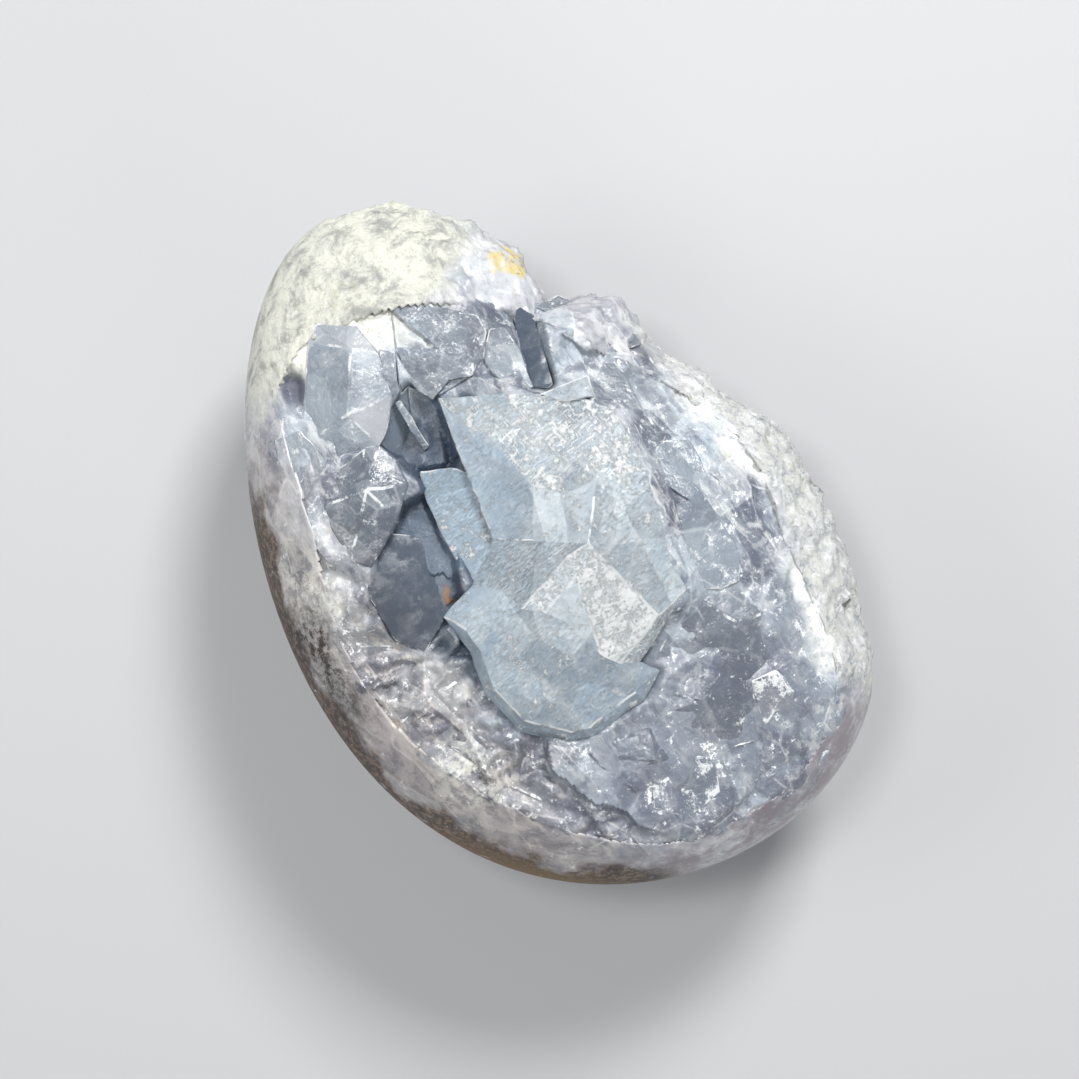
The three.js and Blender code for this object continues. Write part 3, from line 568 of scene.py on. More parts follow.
def makePaleCrystalMaterial():
    # The large pale blue crystals in the middle, etched and sugary in places
    material, shader = newMaterial("paleBlueCrystal")
    g = Graph(material)
    tone = g.attribute("tone")
    clouds = g.plus(g.noise(4, 6, 0.66, 0.6), g.times(g.math("SUBTRACT", tone, 0.5), 0.34))
    color = g.mix(g.band(clouds, 0.34, 0.66), tones["deepBlue"], tones["paleBlue"])
    color = innerPlanes(g, g.blotched(color, "pale"), 5.5, 0.28)
    color = g.over(color, "ice", g.band(g.attribute("white"), 0.7, 1, 0, 0.8))
    # Painted shade: darker blue where the crystal lies deeper below the egg's front
    color = g.over(color, "deepBlue", g.band(g.depth(), 0.9, 0.8))
    # White on the crystal: etching in crisp flecks, strokes and streaks, painted glints in flecks and
    # strokes, and frosted edges that also carry a painted highlight
    finer = g.flecks(g.math("SUBTRACT", g.attribute("white"), 0.2), 0.4)
    etched = g.times(g.dashes(0.57, 0.4), g.band(g.attribute("white"), 0.5, 0.62))
    streaks = g.noise(0.8, 5, 0.7, 0, g.stretched((0, 0, 0.42), (1, 11, 1)))
    streaked = g.times(g.band(streaks, 0.5, 0.58), g.attribute("streak"))
    white = g.anyOf([g.flecks(g.attribute("white"), 0.8), g.times(finer, 0.9), g.times(g.dashes(0.66), 0.8),
                     etched, g.times(streaked, 0.6), frostAndHighlightShare(g, 0.4, 0.5)])
    color = g.over(color, "sugar", white)
    color = g.blotched(color, "paleSpecks")
    g.link(color, shader.inputs["Base Color"])
    g.link(g.band(g.plus(white, g.noise(1.6, 5)), 0.3, 1.5, 0.06, 0.5), shader.inputs["Roughness"])
    fine = g.plus(g.times(streaked, 0.5), g.times(g.noise(0.9, 5, 0.66), 0.8))
    fine = g.plus(fine, g.times(white, 0.4))
    g.link(g.bump(fine, 0.2, 0.9), shader.inputs["Normal"])
    makeClear(g, shader)
    return material


def makeClear(g, shader):
    shader.inputs["Transmission Weight"].default_value = clearCrystal["transmission"]
    shader.inputs["IOR"].default_value = celestiteIor
    absorb = g.add("ShaderNodeVolumeAbsorption")
    absorb.inputs["Color"].default_value = clearCrystal["absorbColor"]
    absorb.inputs["Density"].default_value = clearCrystal["absorbDensity"]
    output = next(n for n in g.tree.nodes if n.type == "OUTPUT_MATERIAL")
    g.link(absorb.outputs[0], output.inputs["Volume"])


stoneMaterial = makeStoneMaterial()
crustMaterial = makeCrustMaterial()
paleCrystal = makePaleCrystalMaterial()
greyCrystal = makeGreyCrystalMaterial()
print("materials made")

stoneBody = {
    "around": 360,
    "rings": 258,
    "frontShare": 0.36,  # how much closer the points stand on the front
    "facets": ((3.6, 0.8), (1.7, 0.5), (1, 0.3)),  # size and depth of the rough rim's broken facets
    "rimHeights": (4, 16),
    "headRoughness": 0.5,
    "headAlong": (19, 25),
    "headAcross": (-14, -8),
    "headHeights": (31, 35),
    "sideDraw": 0.4,     # how far the relief is drawn along the egg's length
    "dishAbove": 25,
}


def makeStone():
    deselectAll()
    bpy.ops.mesh.primitive_uv_sphere_add(
        segments=stoneBody["around"], ring_count=stoneBody["rings"], radius=1,
        location=(0, 0, 0), rotation=(math.pi / 2, 0, 0))
    stone = bpy.context.object
    stone.name = "stoneBody"
    bpy.ops.object.transform_apply(location=True, rotation=True, scale=True)
    directions = pointsOf(stone) * mm
    # Draw the points towards the front, where the detail is
    turn = np.arctan2(directions[:, 0], directions[:, 2])
    reach = np.hypot(directions[:, 0], directions[:, 2])
    turn = turn - stoneBody["frontShare"] * np.sin(turn)
    directions = np.stack([reach * np.sin(turn), directions[:, 1], reach * np.cos(turn)], 1)
    points = eggPoints(directions)
    x, y, z = points.T
    lost = rimShare(x, y) * smoothStep(*stoneBody["rimHeights"], z)
    head = smoothStep(*stoneBody["headAlong"], y) * smoothStep(*stoneBody["headAcross"], x)
    head = head * smoothStep(*stoneBody["headHeights"], z)
    rough = np.maximum(lost, stoneBody["headRoughness"] * head)
    outward = directions * np.array([1, stoneBody["sideDraw"], 1])
    outward = outward / np.maximum(np.linalg.norm(outward, axis=1), 1e-6)[:, None]
    busy = np.nonzero(rough > 0.01)[0]
    relief = np.zeros(len(points))
    for seed, (size, depth) in enumerate(stoneBody["facets"]):
        relief[busy] += depth * facetsAt(points[busy], size, 1 + seed)
    points = points + outward * (rough * relief - lost * lossAt(y))[:, None]
    # The dish that holds the crystals
    front = points[:, 2] > stoneBody["dishAbove"]
    dish = np.minimum(points[:, 2], floorHeight(points[:, 0], points[:, 1]))
    points[:, 2] = np.where(front, dish, points[:, 2])
    points[:, 2] = np.maximum(points[:, 2], 0)
    setPoints(stone, points)
    stone.data.materials.append(stoneMaterial)
    makeActive(stone)
    bpy.ops.object.shade_smooth()
    print("stone made", len(stone.data.polygons), "faces")
    return stone


def mark(piece, name, values):
    # A number on each face, which the materials read
    layer = piece.data.attributes.new(name, "FLOAT", "FACE")
    layer.data.foreach_set("value", np.asarray(values, dtype=np.float32))


def markCells(piece, size, seed):
    # Each broken facet has its own lightness
    centers = np.zeros(len(piece.data.polygons) * 3)
    piece.data.polygons.foreach_get("center", centers)
    shift = patternShift(seed)
    mark(piece, "tone", [noise.cell(noise.voronoi(Vector((x, y, 0)) / size + shift)[1][0] * 7) % 1
                         for x, y, z in centers.reshape(-1, 3) / mm])


# The large crystal in the middle: its corners by name, and its faces
clusterCorners = {
    "plateTip": (2.4, 18.6, 41.2), "plateTop": (8.2, 14.4, 42.8), "plateNeck": (14.8, 8.5, 43),
    "plateBend": (16.5, 5.4, 42.6), "plateSide": (16.2, 3.3, 43), "plateEast": (15, -1.9, 44.2),
    "waistEast": (10.4, 0.7, 46), "waist": (7.4, 1.4, 45.6), "waistMid": (6.3, 1.9, 45.2),
    "waistWest": (4.5, 4.5, 44), "plateFoot": (4.1, 10.3, 42.6), "plateHeel": (3, 14.3, 41.8),
    "windowWest": (-2.6, 2.7, 41.8), "windowEast": (0.7, -0.2, 43.6), "peak": (5.1, -4.1, 47.6),
    "shoulder": (8.8, -0.7, 46.6), "flankTop": (13.2, -6.5, 44.6), "flank": (10.9, -11.1, 44.4),
    "blockEast": (10.5, -14.8, 43.2), "ridgeEnd": (6.1, -15.2, 44.4), "bandEnd": (-0.4, -16.6, 43),
    "bandOut": (1.4, -17.9, 41.8), "notchCorner": (-7.5, 0.4, 40.6), "streakCorner": (-5.2, -2.3, 42.8),
    "finFoot": (-5, -5.1, 43.8), "finTop": (2.5, -3.7, 46.9), "innerTop": (1.9, -6.2, 46.6),
    "finHeel": (-3.2, -7, 44.4), "innerFoot": (-2.2, -9.2, 44.2), "innerEnd": (-1.5, -14.4, 43.6),
    "tip": (-12.3, -0.4, 39.6), "tipRidge": (-11.2, -3, 41), "skirtA": (-12.5, -5.3, 39),
    "skirtB": (-14.2, -9.9, 38.4), "skirtC": (-13.8, -15.6, 38), "skirtD": (-10.2, -20.2, 38.2),
    "skirtE": (-7.9, -21.2, 38.6), "skirtF": (-0.8, -21.5, 40), "skirtG": (2.5, -20.1, 40.4),
    "brimA": (-11.4, -6, 41.2), "brimB": (-13, -10.2, 40.4), "brimC": (-12.5, -15.1, 40.2),
    "brimD": (-9.3, -19.2, 40.2), "brimE": (-7.4, -20, 40.5), "brimF": (-1.1, -20.2, 41.4),
}
clusterRing = [clusterCorners[name][:2] for name in (
    "plateTip plateTop plateNeck plateBend plateSide plateEast flankTop flank blockEast bandOut skirtG"
    " skirtF skirtE skirtD skirtC skirtB skirtA tip notchCorner windowWest").split()]
clusterRing[-1:] = [(-7, 6.1), (-5.7, 10.7), (-4.2, 13.7), (-1.2, 11.9)]

crustGround = {
    "step": 0.24,
    "lip": 2.6,            # how far it runs out under the stone's edge
    "lipDrop": 1.4,
    "lipBand": (0.5, 2.2),
    "coverAtEdge": -0.12,
    "slope": 0.4,
    "deepest": 3.2,
    "polishedWidth": 1.8,  # the polished side stays level this much further in
    "moat": 2.4,           # how much deeper it lies under the large cluster
    "moatAcross": (7, 1),
    "moatEdge": (-0.7, 0.9),
    "recessEdge": (-0.6, 0.7),
    "wander": 1.3,         # how far its meeting line with the stone strays
    "foot": 25.4,
    "thinnest": 2.5,
    "facets": ((5.8, 0.9), (2.6, 0.26), (1.1, 0.08)),  # size and depth of its broken facets
    "firstSeed": 4,
    "edgeRelief": 0.25,    # how strong the facets are at the edge, and how much more they get inside
    "innerRelief": 0.75,
    "joinReach": 2.8,      # how near to a crystal it starts to run up to it
    "joinSteps": {"facets": 0.3, "blades": 0.8, "cluster": 0.4},
    "clusterJoin": (5, 9),
    "evenShare": 0.6,
    "evenRounds": 4,
    "smoothAngle": 28,
}
polishedSide = {"across": (4, -6), "lean": 0.35, "lowShift": 2, "lowAlong": (-18, -34)}


def polishedShare(x, y):
    # The left and the lower side were polished with the stone, the rest stayed rough
    shift = polishedSide["lowShift"] * smoothStep(*polishedSide["lowAlong"], y)
    return smoothStep(*polishedSide["across"], x + polishedSide["lean"] * y + shift)


def groundHeight(x, y):
    flat = np.stack([x, y, np.zeros(len(x))], 1)
    wander = crustGround["wander"] * noiseAt(flat, 4, 3, 11)
    inside = insideOf(hollowEdge, x, y) + wander
    polished = polishedShare(x, y)
    sunk = crustGround["slope"] * (inside + 0.3 - crustGround["polishedWidth"] * polished)
    cover = crustGround["coverAtEdge"] + np.clip(sunk, 0, crustGround["deepest"])
    cover = cover + crustGround["lipDrop"] * smoothStep(*crustGround["lipBand"], -inside)
    underCluster = smoothStep(*crustGround["moatEdge"], insideOf(clusterRing, x, y))
    cover = cover + crustGround["moat"] * smoothStep(*crustGround["moatAcross"], x) * underCluster
    for recess in recesses:
        share = smoothStep(*crustGround["recessEdge"], insideOf(recess["outline"], x, y))
        cover = cover + recess["depth"] * share
    return skinHeight(x, y) - cover


def crystalEdges(pieces, x, y):
    # For each place: the height of the nearest crystal's surface, and how far off it is in plan
    vertices = []
    faces = []
    for piece in pieces:
        start = len(vertices)
        vertices += [vertex.co / mm for vertex in piece.data.vertices]
        faces += [[start + i for i in face.vertices] for face in piece.data.polygons]
    tree = BVHTree.FromPolygons(vertices, faces)
    above = skinHeight(x, y) + 1.5
    nearest = [tree.find_nearest((a, b, c))[0] for a, b, c in zip(x, y, above)]
    heights = np.array([point.z for point in nearest])
    return heights, np.array([math.hypot(point.x - a, point.y - b) for point, a, b in zip(nearest, x, y)])


def evened(piece, height, share, rounds):
    # Heights drawn towards those of their neighbours, most where the share is high
    edges = np.zeros(len(piece.data.edges) * 2, int)
    piece.data.edges.foreach_get("vertices", edges)
    one, two = edges.reshape(-1, 2).T
    level = np.abs(height[one] - height[two]) < 9
    one, two = one[level], two[level]
    count = np.maximum(np.bincount(one, minlength=len(height)) + np.bincount(two, minlength=len(height)), 1)
    for i in range(rounds):
        total = np.bincount(one, height[two], len(height)) + np.bincount(two, height[one], len(height))
        height = height + share * (total / count - height)
    return height


def clearSelection(mesh):
    for parts in (mesh.vertices, mesh.edges, mesh.polygons):
        parts.foreach_set("select", np.zeros(len(parts), bool))


def closeBelow(piece, low):
    # The faces of the unseen underside become one
    mesh = piece.data
    clearSelection(mesh)
    mesh.polygons.foreach_set("select", [bool(low[list(face.vertices)].all()) for face in mesh.polygons])
    makeActive(piece)
    bpy.ops.object.mode_set(mode="EDIT")
    bpy.ops.mesh.select_mode(type="FACE")
    bpy.ops.mesh.dissolve_faces()
    bpy.ops.object.mode_set(mode="OBJECT")


def layGrid():
    # A grid laid over the hollow and cut to its edge, drawn down to a copy of itself
    deselectAll()
    step = crustGround["step"]
    edge = np.array(hollowEdge)
    lowX, lowY = edge.min(axis=0) - 2
    highX, highY = edge.max(axis=0) + 2
    bpy.ops.mesh.primitive_grid_add(
        x_subdivisions=int((highX - lowX) / step), y_subdivisions=int((highY - lowY) / step), size=1,
        location=((lowX + highX) / 2 * mm, (lowY + highY) / 2 * mm, 30 * mm))
    ground = bpy.context.object
    ground.name = "crustGround"
    ground.scale = ((highX - lowX) * mm, (highY - lowY) * mm, 1)
    bpy.ops.object.transform_apply(location=True, rotation=True, scale=True)
    points = pointsOf(ground)
    outside = insideOf(hollowEdge, points[:, 0], points[:, 1]) < -crustGround["lip"]
    clearSelection(ground.data)
    ground.data.vertices.foreach_set("select", outside)
    bpy.ops.object.mode_set(mode="EDIT")
    bpy.ops.mesh.select_mode(type="VERT")
    bpy.ops.mesh.delete(type="VERT")
    bpy.ops.mesh.select_all(action="SELECT")
    bpy.ops.mesh.extrude_region_move(TRANSFORM_OT_translate={"value": (0, 0, -10 * mm)})
    bpy.ops.mesh.select_all(action="SELECT")
    bpy.ops.mesh.normals_make_consistent(inside=False)
    bpy.ops.object.mode_set(mode="OBJECT")
    return ground


def joinedHeights(height, x, y, neighbours):
    # Where a crystal stands, the ground runs up to it, so that the two are grown together
    free = np.ones(len(x))
    blend = np.zeros(len(x))
    for recess in recesses:
        free = free * smoothStep(0.4, -0.8, insideOf(recess["outline"], x, y))
    for pieces, share, below in neighbours:
        edgeHeight, away = crystalEdges(pieces, x, y)
        near = smoothStep(crustGround["joinReach"], 0.1, away) * (free * share)
        height = height + (edgeHeight - below - height) * near
        blend = np.maximum(blend, smoothStep(0, 0.5, near))
    return height, blend


def makeGround(facets, blades, middle):
    ground = layGrid()
    points = pointsOf(ground)
    top = points[:, 2] > 25
    x, y = points[:, 0], points[:, 1]
    height = groundHeight(x, y)
    flat = np.stack([x, y, np.zeros(len(x))], 1)
    inside = insideOf(hollowEdge, x, y)
    relief = np.zeros(len(x))
    upper = np.nonzero(top)[0]
    for seed, (size, depth) in enumerate(crustGround["facets"]):
        relief[upper] += depth * facetsAt(flat[upper], size, crustGround["firstSeed"] + seed)
    polished = polishedShare(x, y)
    rough = smoothStep(0.5 + 2.5 * polished, 6 + 4 * polished, inside)
    amount = crustGround["edgeRelief"] * (1 - 0.8 * polished)
    amount = amount + crustGround["innerRelief"] * (1 - 0.5 * polished) * rough
    low = np.minimum(height - crustGround["thinnest"], crustGround["foot"])
    height = height + relief * amount
    steps = crustGround["joinSteps"]
    blend = np.zeros(len(x))
    height[upper], blend[upper] = joinedHeights(height[upper], x[upper], y[upper], (
        (facets, 1, steps["facets"]), ([blades], 1, steps["blades"]),
        ([middle], smoothStep(*crustGround["clusterJoin"], x[upper]), steps["cluster"])))
    height = evened(ground, np.where(top, height, low), crustGround["evenShare"] * blend,
                    crustGround["evenRounds"])
    points[:, 2] = np.where(top, height, low)
    setPoints(ground, points)
    closeBelow(ground, ~top)
    ground.data.materials.append(crustMaterial)
    markCells(ground, crustGround["facets"][0][0], crustGround["firstSeed"])
    makeActive(ground)
    bpy.ops.object.shade_smooth_by_angle(angle=math.radians(crustGround["smoothAngle"]))
    print("ground made", len(ground.data.polygons), "faces")
    return ground


def makeCrystal(name, row, group, material):
    # A prism whose corners are drawn to their places and wrapped in flat faces, its edges taken off
    foot, base, look, corners = row
    deselectAll()
    bpy.ops.mesh.primitive_cylinder_add(
        vertices=len(corners), radius=5 * mm, depth=10 * mm, location=(0, 0, 0))
    crystal = bpy.context.object
    crystal.name = name
    middle = Vector((sum(c[0] for c in corners), sum(c[1] for c in corners), 0)) / len(corners)
    top = [v for v in crystal.data.vertices if v.co.z > 0]
    bottom = [v for v in crystal.data.vertices if v.co.z < 0]
    for vertex, (x, y, z) in zip(top, corners):
        vertex.co = Vector((x, y, z)) * mm
    for vertex, (x, y, z) in zip(bottom, corners):
        vertex.co = Vector((
            middle.x + (x - middle.x) * foot, middle.y + (y - middle.y) * foot, base)) * mm
    bpy.ops.object.mode_set(mode="EDIT")
    bpy.ops.mesh.select_all(action="SELECT")
    bpy.ops.mesh.convex_hull()
    bpy.ops.mesh.select_all(action="SELECT")
    bpy.ops.mesh.dissolve_limited(angle_limit=math.radians(9))
    bpy.ops.object.mode_set(mode="OBJECT")
    faces = crystal.data.polygons
    tone, white, shade = look
    mark(crystal, "tone", [tone + 0.5 * (chance.random() - 0.5) for face in faces])
    mark(crystal, "white", [white * (0.6 + 0.8 * chance.random()) for face in faces])
    mark(crystal, "streak", [0.3 * chance.random() for face in faces])
    mark(crystal, "shade", [shade] * len(faces))
    bevelEdges(crystal, group["edge"], material)
    finishFacets(crystal, group["levels"])
    return crystal


def bevelEdges(crystal, edge, material):
    # All edges are taken off, and the narrow new faces marked as frosted edges that carry a painted
    # highlight
    crystal.data.materials.append(material)
    crystal.data.materials.append(None)
    bpy.ops.object.mode_set(mode="EDIT")
    bpy.ops.mesh.select_all(action="SELECT")
    bpy.ops.mesh.bevel(offset=edge * mm, segments=1, affect="EDGES", clamp_overlap=True, material=1)
    bpy.ops.mesh.select_all(action="SELECT")
    bpy.ops.mesh.quads_convert_to_tris()
    bpy.ops.object.mode_set(mode="OBJECT")
    keepFrostAndHighlight(crystal)


def keepFrostAndHighlight(crystal):
    mark(crystal, "frostAndHighlight", [face.material_index for face in crystal.data.polygons])
    for face in crystal.data.polygons:
        face.material_index = 0
    crystal.data.materials.pop(index=1)


facetFinish = {"sway": 0.14, "swaySizes": (2.6, 2.6, 2.2), "firstSeed": 7, "smoothAngle": 14}


def finishFacets(crystal, levels):
    # Flat faces are cut finer and shaken slightly, so that none is quite even
    applyModifier(crystal, "SUBSURF", subdivision_type="SIMPLE", levels=levels, render_levels=levels)
    points = pointsOf(crystal)
    sway = np.stack([noiseAt(points, size, 3, facetFinish["firstSeed"] + i)
                     for i, size in enumerate(facetFinish["swaySizes"])], 1)
    setPoints(crystal, points + facetFinish["sway"] * sway)
    makeActive(crystal)
    bpy.ops.object.shade_smooth_by_angle(angle=math.radians(facetFinish["smoothAngle"]))


def joinPieces(pieces, name):
    deselectAll()
    for piece in pieces:
        piece.select_set(True)
    bpy.context.view_layer.objects.active = pieces[0]
    bpy.ops.object.join()
    whole = bpy.context.object
    whole.name = name
    bpy.ops.object.transform_apply(location=True, rotation=True, scale=True)
    return whole


# The large crystals. Each row: how far the foot spreads, its height, the look (how light, how white
# with flecks, how far it is darkened towards slate: painted shade for the crystals deep in the recesses and
# the notch, a darker tone for the others), and the corners in millimetres
headBlades = {
    "edge": 0.16,
    "levels": 3,
    "crystals": [
        (1.12, 29, (0.85, 0.15, 0), [
            (-2.7, 33.7, 37.3), (-4.6, 32.8, 37.1), (-9.2, 27.9, 37.5), (-11.6, 24.1, 37.7),
            (-11.1, 19.9, 38.6), (-7.3, 19.5, 39.5), (-5.8, 18.7, 39.7), (-4.2, 19.4, 40),
            (-2.3, 21.1, 40.3), (-1, 22, 40.8), (0.6, 26.5, 40.6), (0.6, 30.5, 39.4), (-1.5, 28.8, 40.9),
            (-6.3, 23.4, 41.5)]),
        (1.12, 29, (0.2, 0.35, 0.2), [
            (4.9, 29.7, 38.9), (7.6, 28.3, 38.6), (10.1, 25.4, 38.1), (11.8, 23.1, 37.2), (11.3, 21, 38.1),
            (9.1, 19, 39.8), (7, 18.2, 40.3), (4.7, 19.4, 40.3), (1.9, 19, 39.7), (1.3, 20.6, 39.6),
            (1.3, 22.3, 39.9), (2.3, 25.7, 40.5), (6, 22.6, 40.9)]),
        (1.12, 29, (0.4, 0.5, 0.1), [
            (0.9, 26.8, 40.6), (2.1, 25.5, 40.8), (0.4, 22.9, 41.1), (-0.1, 21.7, 40.7), (-2.6, 20.9, 40),
            (-2.7, 22.7, 40.2), (-0.8, 25.4, 40.8)]),
        (1.12, 29, (0.5, 0.2, 0), [
            (11.8, 21.2, 37.7), (13.2, 20.3, 37), (12.9, 17.2, 38.6), (11.4, 12.9, 40.3),
            (9.9, 13.8, 40.7), (8.8, 16.8, 41.1), (9.1, 18.7, 40.4)]),
        (1.12, 29, (0.2, 0.15, 0.35), [
            (-11.1, 19.6, 39.3), (-7.4, 19.4, 40.2), (-5.8, 18.7, 40.3), (-5.3, 16.1, 40.6),
            (-6, 13.3, 40.8), (-9.6, 10.9, 40.7), (-15.1, 8.8, 39.6), (-16.3, 10.9, 39.3),
            (-15.8, 14.8, 39.1), (-14.8, 17.5, 39), (-12.9, 18.9, 39), (-9.9, 15.7, 41.6)]),
        (1.12, 29, (0.5, 0.3, 0), [
            (-14.6, 26.9, 35.9), (-11.6, 25.8, 37.8), (-11.4, 22.7, 38.5), (-11.5, 19.6, 38.7),
            (-14.8, 17.6, 38.1), (-16.2, 14.5, 38.3), (-17, 11.2, 38.5), (-19.8, 12.3, 37.1),
            (-20.4, 17.1, 35.8), (-18.4, 21.3, 35.7)]),
    ],
}

notchPrism = {
    "edge": 0.1,
    "levels": 3,
    "crystals": [
        (0.95, 26, (0.2, 0, 0.85), [
            (16.1, 22.6, 30.8), (17, 21.5, 29.8), (16.9, 19.2, 32.5), (15.3, 16.2, 36.1), (13.4, 11.9, 38),
            (12.7, 11.8, 37.9), (11.4, 13, 38.2), (13, 17.3, 36), (15, 20.6, 33)]),
    ],
}

# Glassy lumps of the rim beside the notch, grown on the stone itself
rimLumps = {
    "edge": 0.2,
    "levels": 3,
    "crystals": [
        (0.9, 24, (0.2, 0.1, 0.15), [
            (17.9, 20.3, 31), (20.7, 19.9, 29.4), (22, 17.5, 30.4), (20.6, 14.2, 34.9), (18.4, 12.9, 36.4),
            (16.4, 14.3, 36.5), (16, 16.5, 35.4), (18.6, 17.7, 34.4)]),
        (0.9, 23, (0.2, 0.1, 0.25), [
            (22, 17.5, 29.9), (23.9, 16.7, 28.3), (24.6, 14.2, 29.8), (25, 11.1, 30.9), (24.2, 9.2, 32.1),
            (22.6, 9.8, 33.8), (20.4, 12.1, 35.4), (20.5, 14.3, 34.7), (22.6, 13.4, 34)]),
    ],
}

rightFacets = {
    "edge": 0.16,
    "levels": 3,
    "crystals": [
        (1.3, 28, (0.15, 0, 0.3), [
            (14, 11.5, 38.2), (16.8, 13.9, 36.4), (20.5, 12.3, 34.8), (24.1, 9.2, 31.6), (24.6, 5.1, 31.6),
            (23.5, 1.7, 34.4), (19, -0.7, 38.6), (16.2, -0.7, 40), (16.7, 3.4, 39), (17.1, 6, 38.2),
            (16.4, 8.7, 38), (20.7, 5.4, 36.2)]),
        (1.3, 28, (0.5, 0.25, 0.1), [
            (15, -1.2, 41), (19, -0.7, 38.6), (21.3, -2.5, 37.9), (20.4, -6.1, 38.9), (18.3, -11.6, 40),
            (17.3, -15.9, 39.8), (15.6, -17.9, 40.1), (13.4, -17.4, 40.8), (10.8, -15.3, 41.6),
            (11.5, -11.7, 42.4), (13.2, -6, 42.6), (16.9, -7.6, 41.6)]),
        (1.3, 28, (0.5, 0.4, 0), [
            (19, -0.7, 38.5), (23.5, 1.4, 34.1), (24.6, -2.3, 35), (24.1, -8.3, 36), (22.4, -13.7, 36.6),
            (20.2, -18.4, 37.6), (17.4, -19.4, 39), (16.8, -16.9, 39.5), (19.1, -9.4, 39.1),
            (21, -8, 38.8)]),
        (1.3, 28, (0.4, 0.2, 0.1), [
            (10.5, -15.4, 40.9), (13.5, -17.3, 40.2), (15, -18.8, 39.8), (15.4, -22.3, 39.4),
            (18.2, -28, 36.5), (16.4, -30.2, 36.3), (14.7, -31.8, 36.1), (12.3, -28.4, 38.3),
            (9.6, -27.3, 39), (10.3, -25.5, 39), (8.4, -22.5, 39.8), (5.2, -22, 39.7), (2.2, -21.2, 39.4),
            (2.2, -19, 39.8), (12.5, -21.7, 40.4)]),
        (1.3, 28, (0.7, 0.5, 0), [
            (9.6, -27.4, 39.5), (12.6, -28.2, 39), (13.8, -32.3, 36.9), (12, -39.2, 32.4),
            (10.8, -40.8, 30.4), (8.7, -41, 30.4), (8.1, -40, 31.6), (6.8, -37.3, 34.5),
            (7.4, -32.4, 37.4), (12.3, -31, 38.6), (10.7, -39.2, 33.8)]),
    ],
}

lowerFacets = {
    "edge": 0.16,
    "levels": 3,
    "crystals": [
        (1.45, 30, (0.3, 0.4, 0.25), [
            (-10.9, -22.1, 38.1), (-9.2, -22.2, 39.3), (-9.1, -24.2, 39.4), (-8.3, -29.3, 38),
            (-9, -29.6, 36.6), (-10.4, -26.5, 36.6)]),
        (1.45, 30, (0.3, 0.3, 0.3), [
            (-8.8, -23.5, 38.5), (-5.6, -22.7, 39), (-2.4, -24.3, 39.6), (-0.8, -29.6, 38.2),
            (-2.1, -31.5, 37.3), (-5, -32.1, 36.6), (-8, -29.7, 36.9), (-8.4, -27, 38),
            (-4.2, -27.4, 39.8)]),
        (1.45, 30, (0.2, 0.2, 0.4), [
            (-14.8, -28.2, 36.3), (-11.1, -28.6, 37.3), (-7, -31.1, 37.1), (-5.1, -35.1, 35.4),
            (-7.2, -38.4, 31.8), (-11.2, -37, 31.7), (-14.7, -33.3, 33.4), (-10.1, -32.3, 36.6)]),
        (1.45, 30, (0.7, 0.4, 0.05), [
            (-20.4, 2.8, 36.9), (-19.2, -0.3, 37.2), (-17, -2.8, 37.4), (-12.5, -3.6, 37),
            (-13.1, -6, 37.2), (-17.8, -6.5, 37.7), (-21.5, -2.1, 36.9)]),
        (1.45, 30, (0.6, 0.5, 0.1), [
            (-26.4, -0.7, 33.4), (-21.8, -2.5, 36.9), (-17.9, -6.6, 37.8), (-13, -7.4, 37.4),
            (-14.5, -10.5, 37.2), (-14, -15.9, 37), (-17.5, -16.7, 37.6), (-21.3, -10.8, 37.1),
            (-25.3, -5.3, 34.9)]),
        (1.45, 30, (0.5, 0.5, 0.2), [
            (-14.2, -16.1, 37), (-10.5, -20.7, 37.2), (-11, -22.7, 37.9), (-11.1, -26.4, 37.1),
            (-15.2, -24.4, 37.1), (-18.1, -19.1, 37.6), (-17.8, -16.7, 37.9)]),
        (1.45, 30, (0.3, 0.4, 0.25), [
            (1.1, -21.7, 39.6), (6.7, -22, 39.8), (10, -25.9, 38.9), (9, -28.3, 38.7), (7.3, -32.7, 37.1),
            (3.7, -31.9, 37.8), (0.2, -28.2, 38.8), (-1.9, -23.8, 39), (3.9, -25.3, 40.5)]),
        (1.45, 30, (0.3, 0.3, 0.3), [
            (3.7, -31.9, 38), (7.1, -33.3, 37.2), (6.7, -37.5, 34.8), (2, -38.9, 34), (-1.4, -35.8, 36.1),
            (-1, -31.6, 37.9)]),
    ],
}

recessFacets = {
    "edge": 0.1,
    "levels": 3,
    "crystals": [
        (1, 25.5, (0.5, 0, 0.85), [
            (-11.1, 10.3, 37.2), (-7.1, 7, 36.8), (-8.4, 3.5, 36.8), (-9, 0.4, 36.9), (-12.7, -0.6, 37.6),
            (-16.4, -2.1, 38.5), (-18.2, 1, 38.9), (-17.3, 6.1, 38.9), (-16.1, 8.6, 38.4)]),
        (1, 25.5, (0.8, 0.2, 0.4), [
            (-8.3, 11.9, 35.2), (-6.2, 11.3, 34.8), (-7.3, 7.9, 35.6), (-7.1, 7, 36.4),
            (-11.2, 10.2, 36.8)]),
        (1, 25.5, (0.7, 0, 0.55), [
            (0.9, 21.9, 39.2), (2.2, 18.8, 37.2), (-0.8, 12.5, 36.8), (-4, 14.2, 35.2), (-2, 17.9, 36.6)]),
        (1, 25.5, (0.6, 0, 0.6), [
            (0.9, 21.9, 38.6), (-1.8, 17.9, 35), (-4, 14.2, 34.6), (-5.2, 16, 36.6), (-5.7, 18.7, 38.6),
            (-2.4, 21.2, 39.2)]),
        (0.9, 28, (0.8, 0.4, 0.1), [
            (-1.5, 21.2, 39.8), (-0.8, 21, 39.8), (-1.7, 15.3, 38), (-2.4, 15.2, 37.6), (-2.1, 18, 39.2)]),
    ],
}

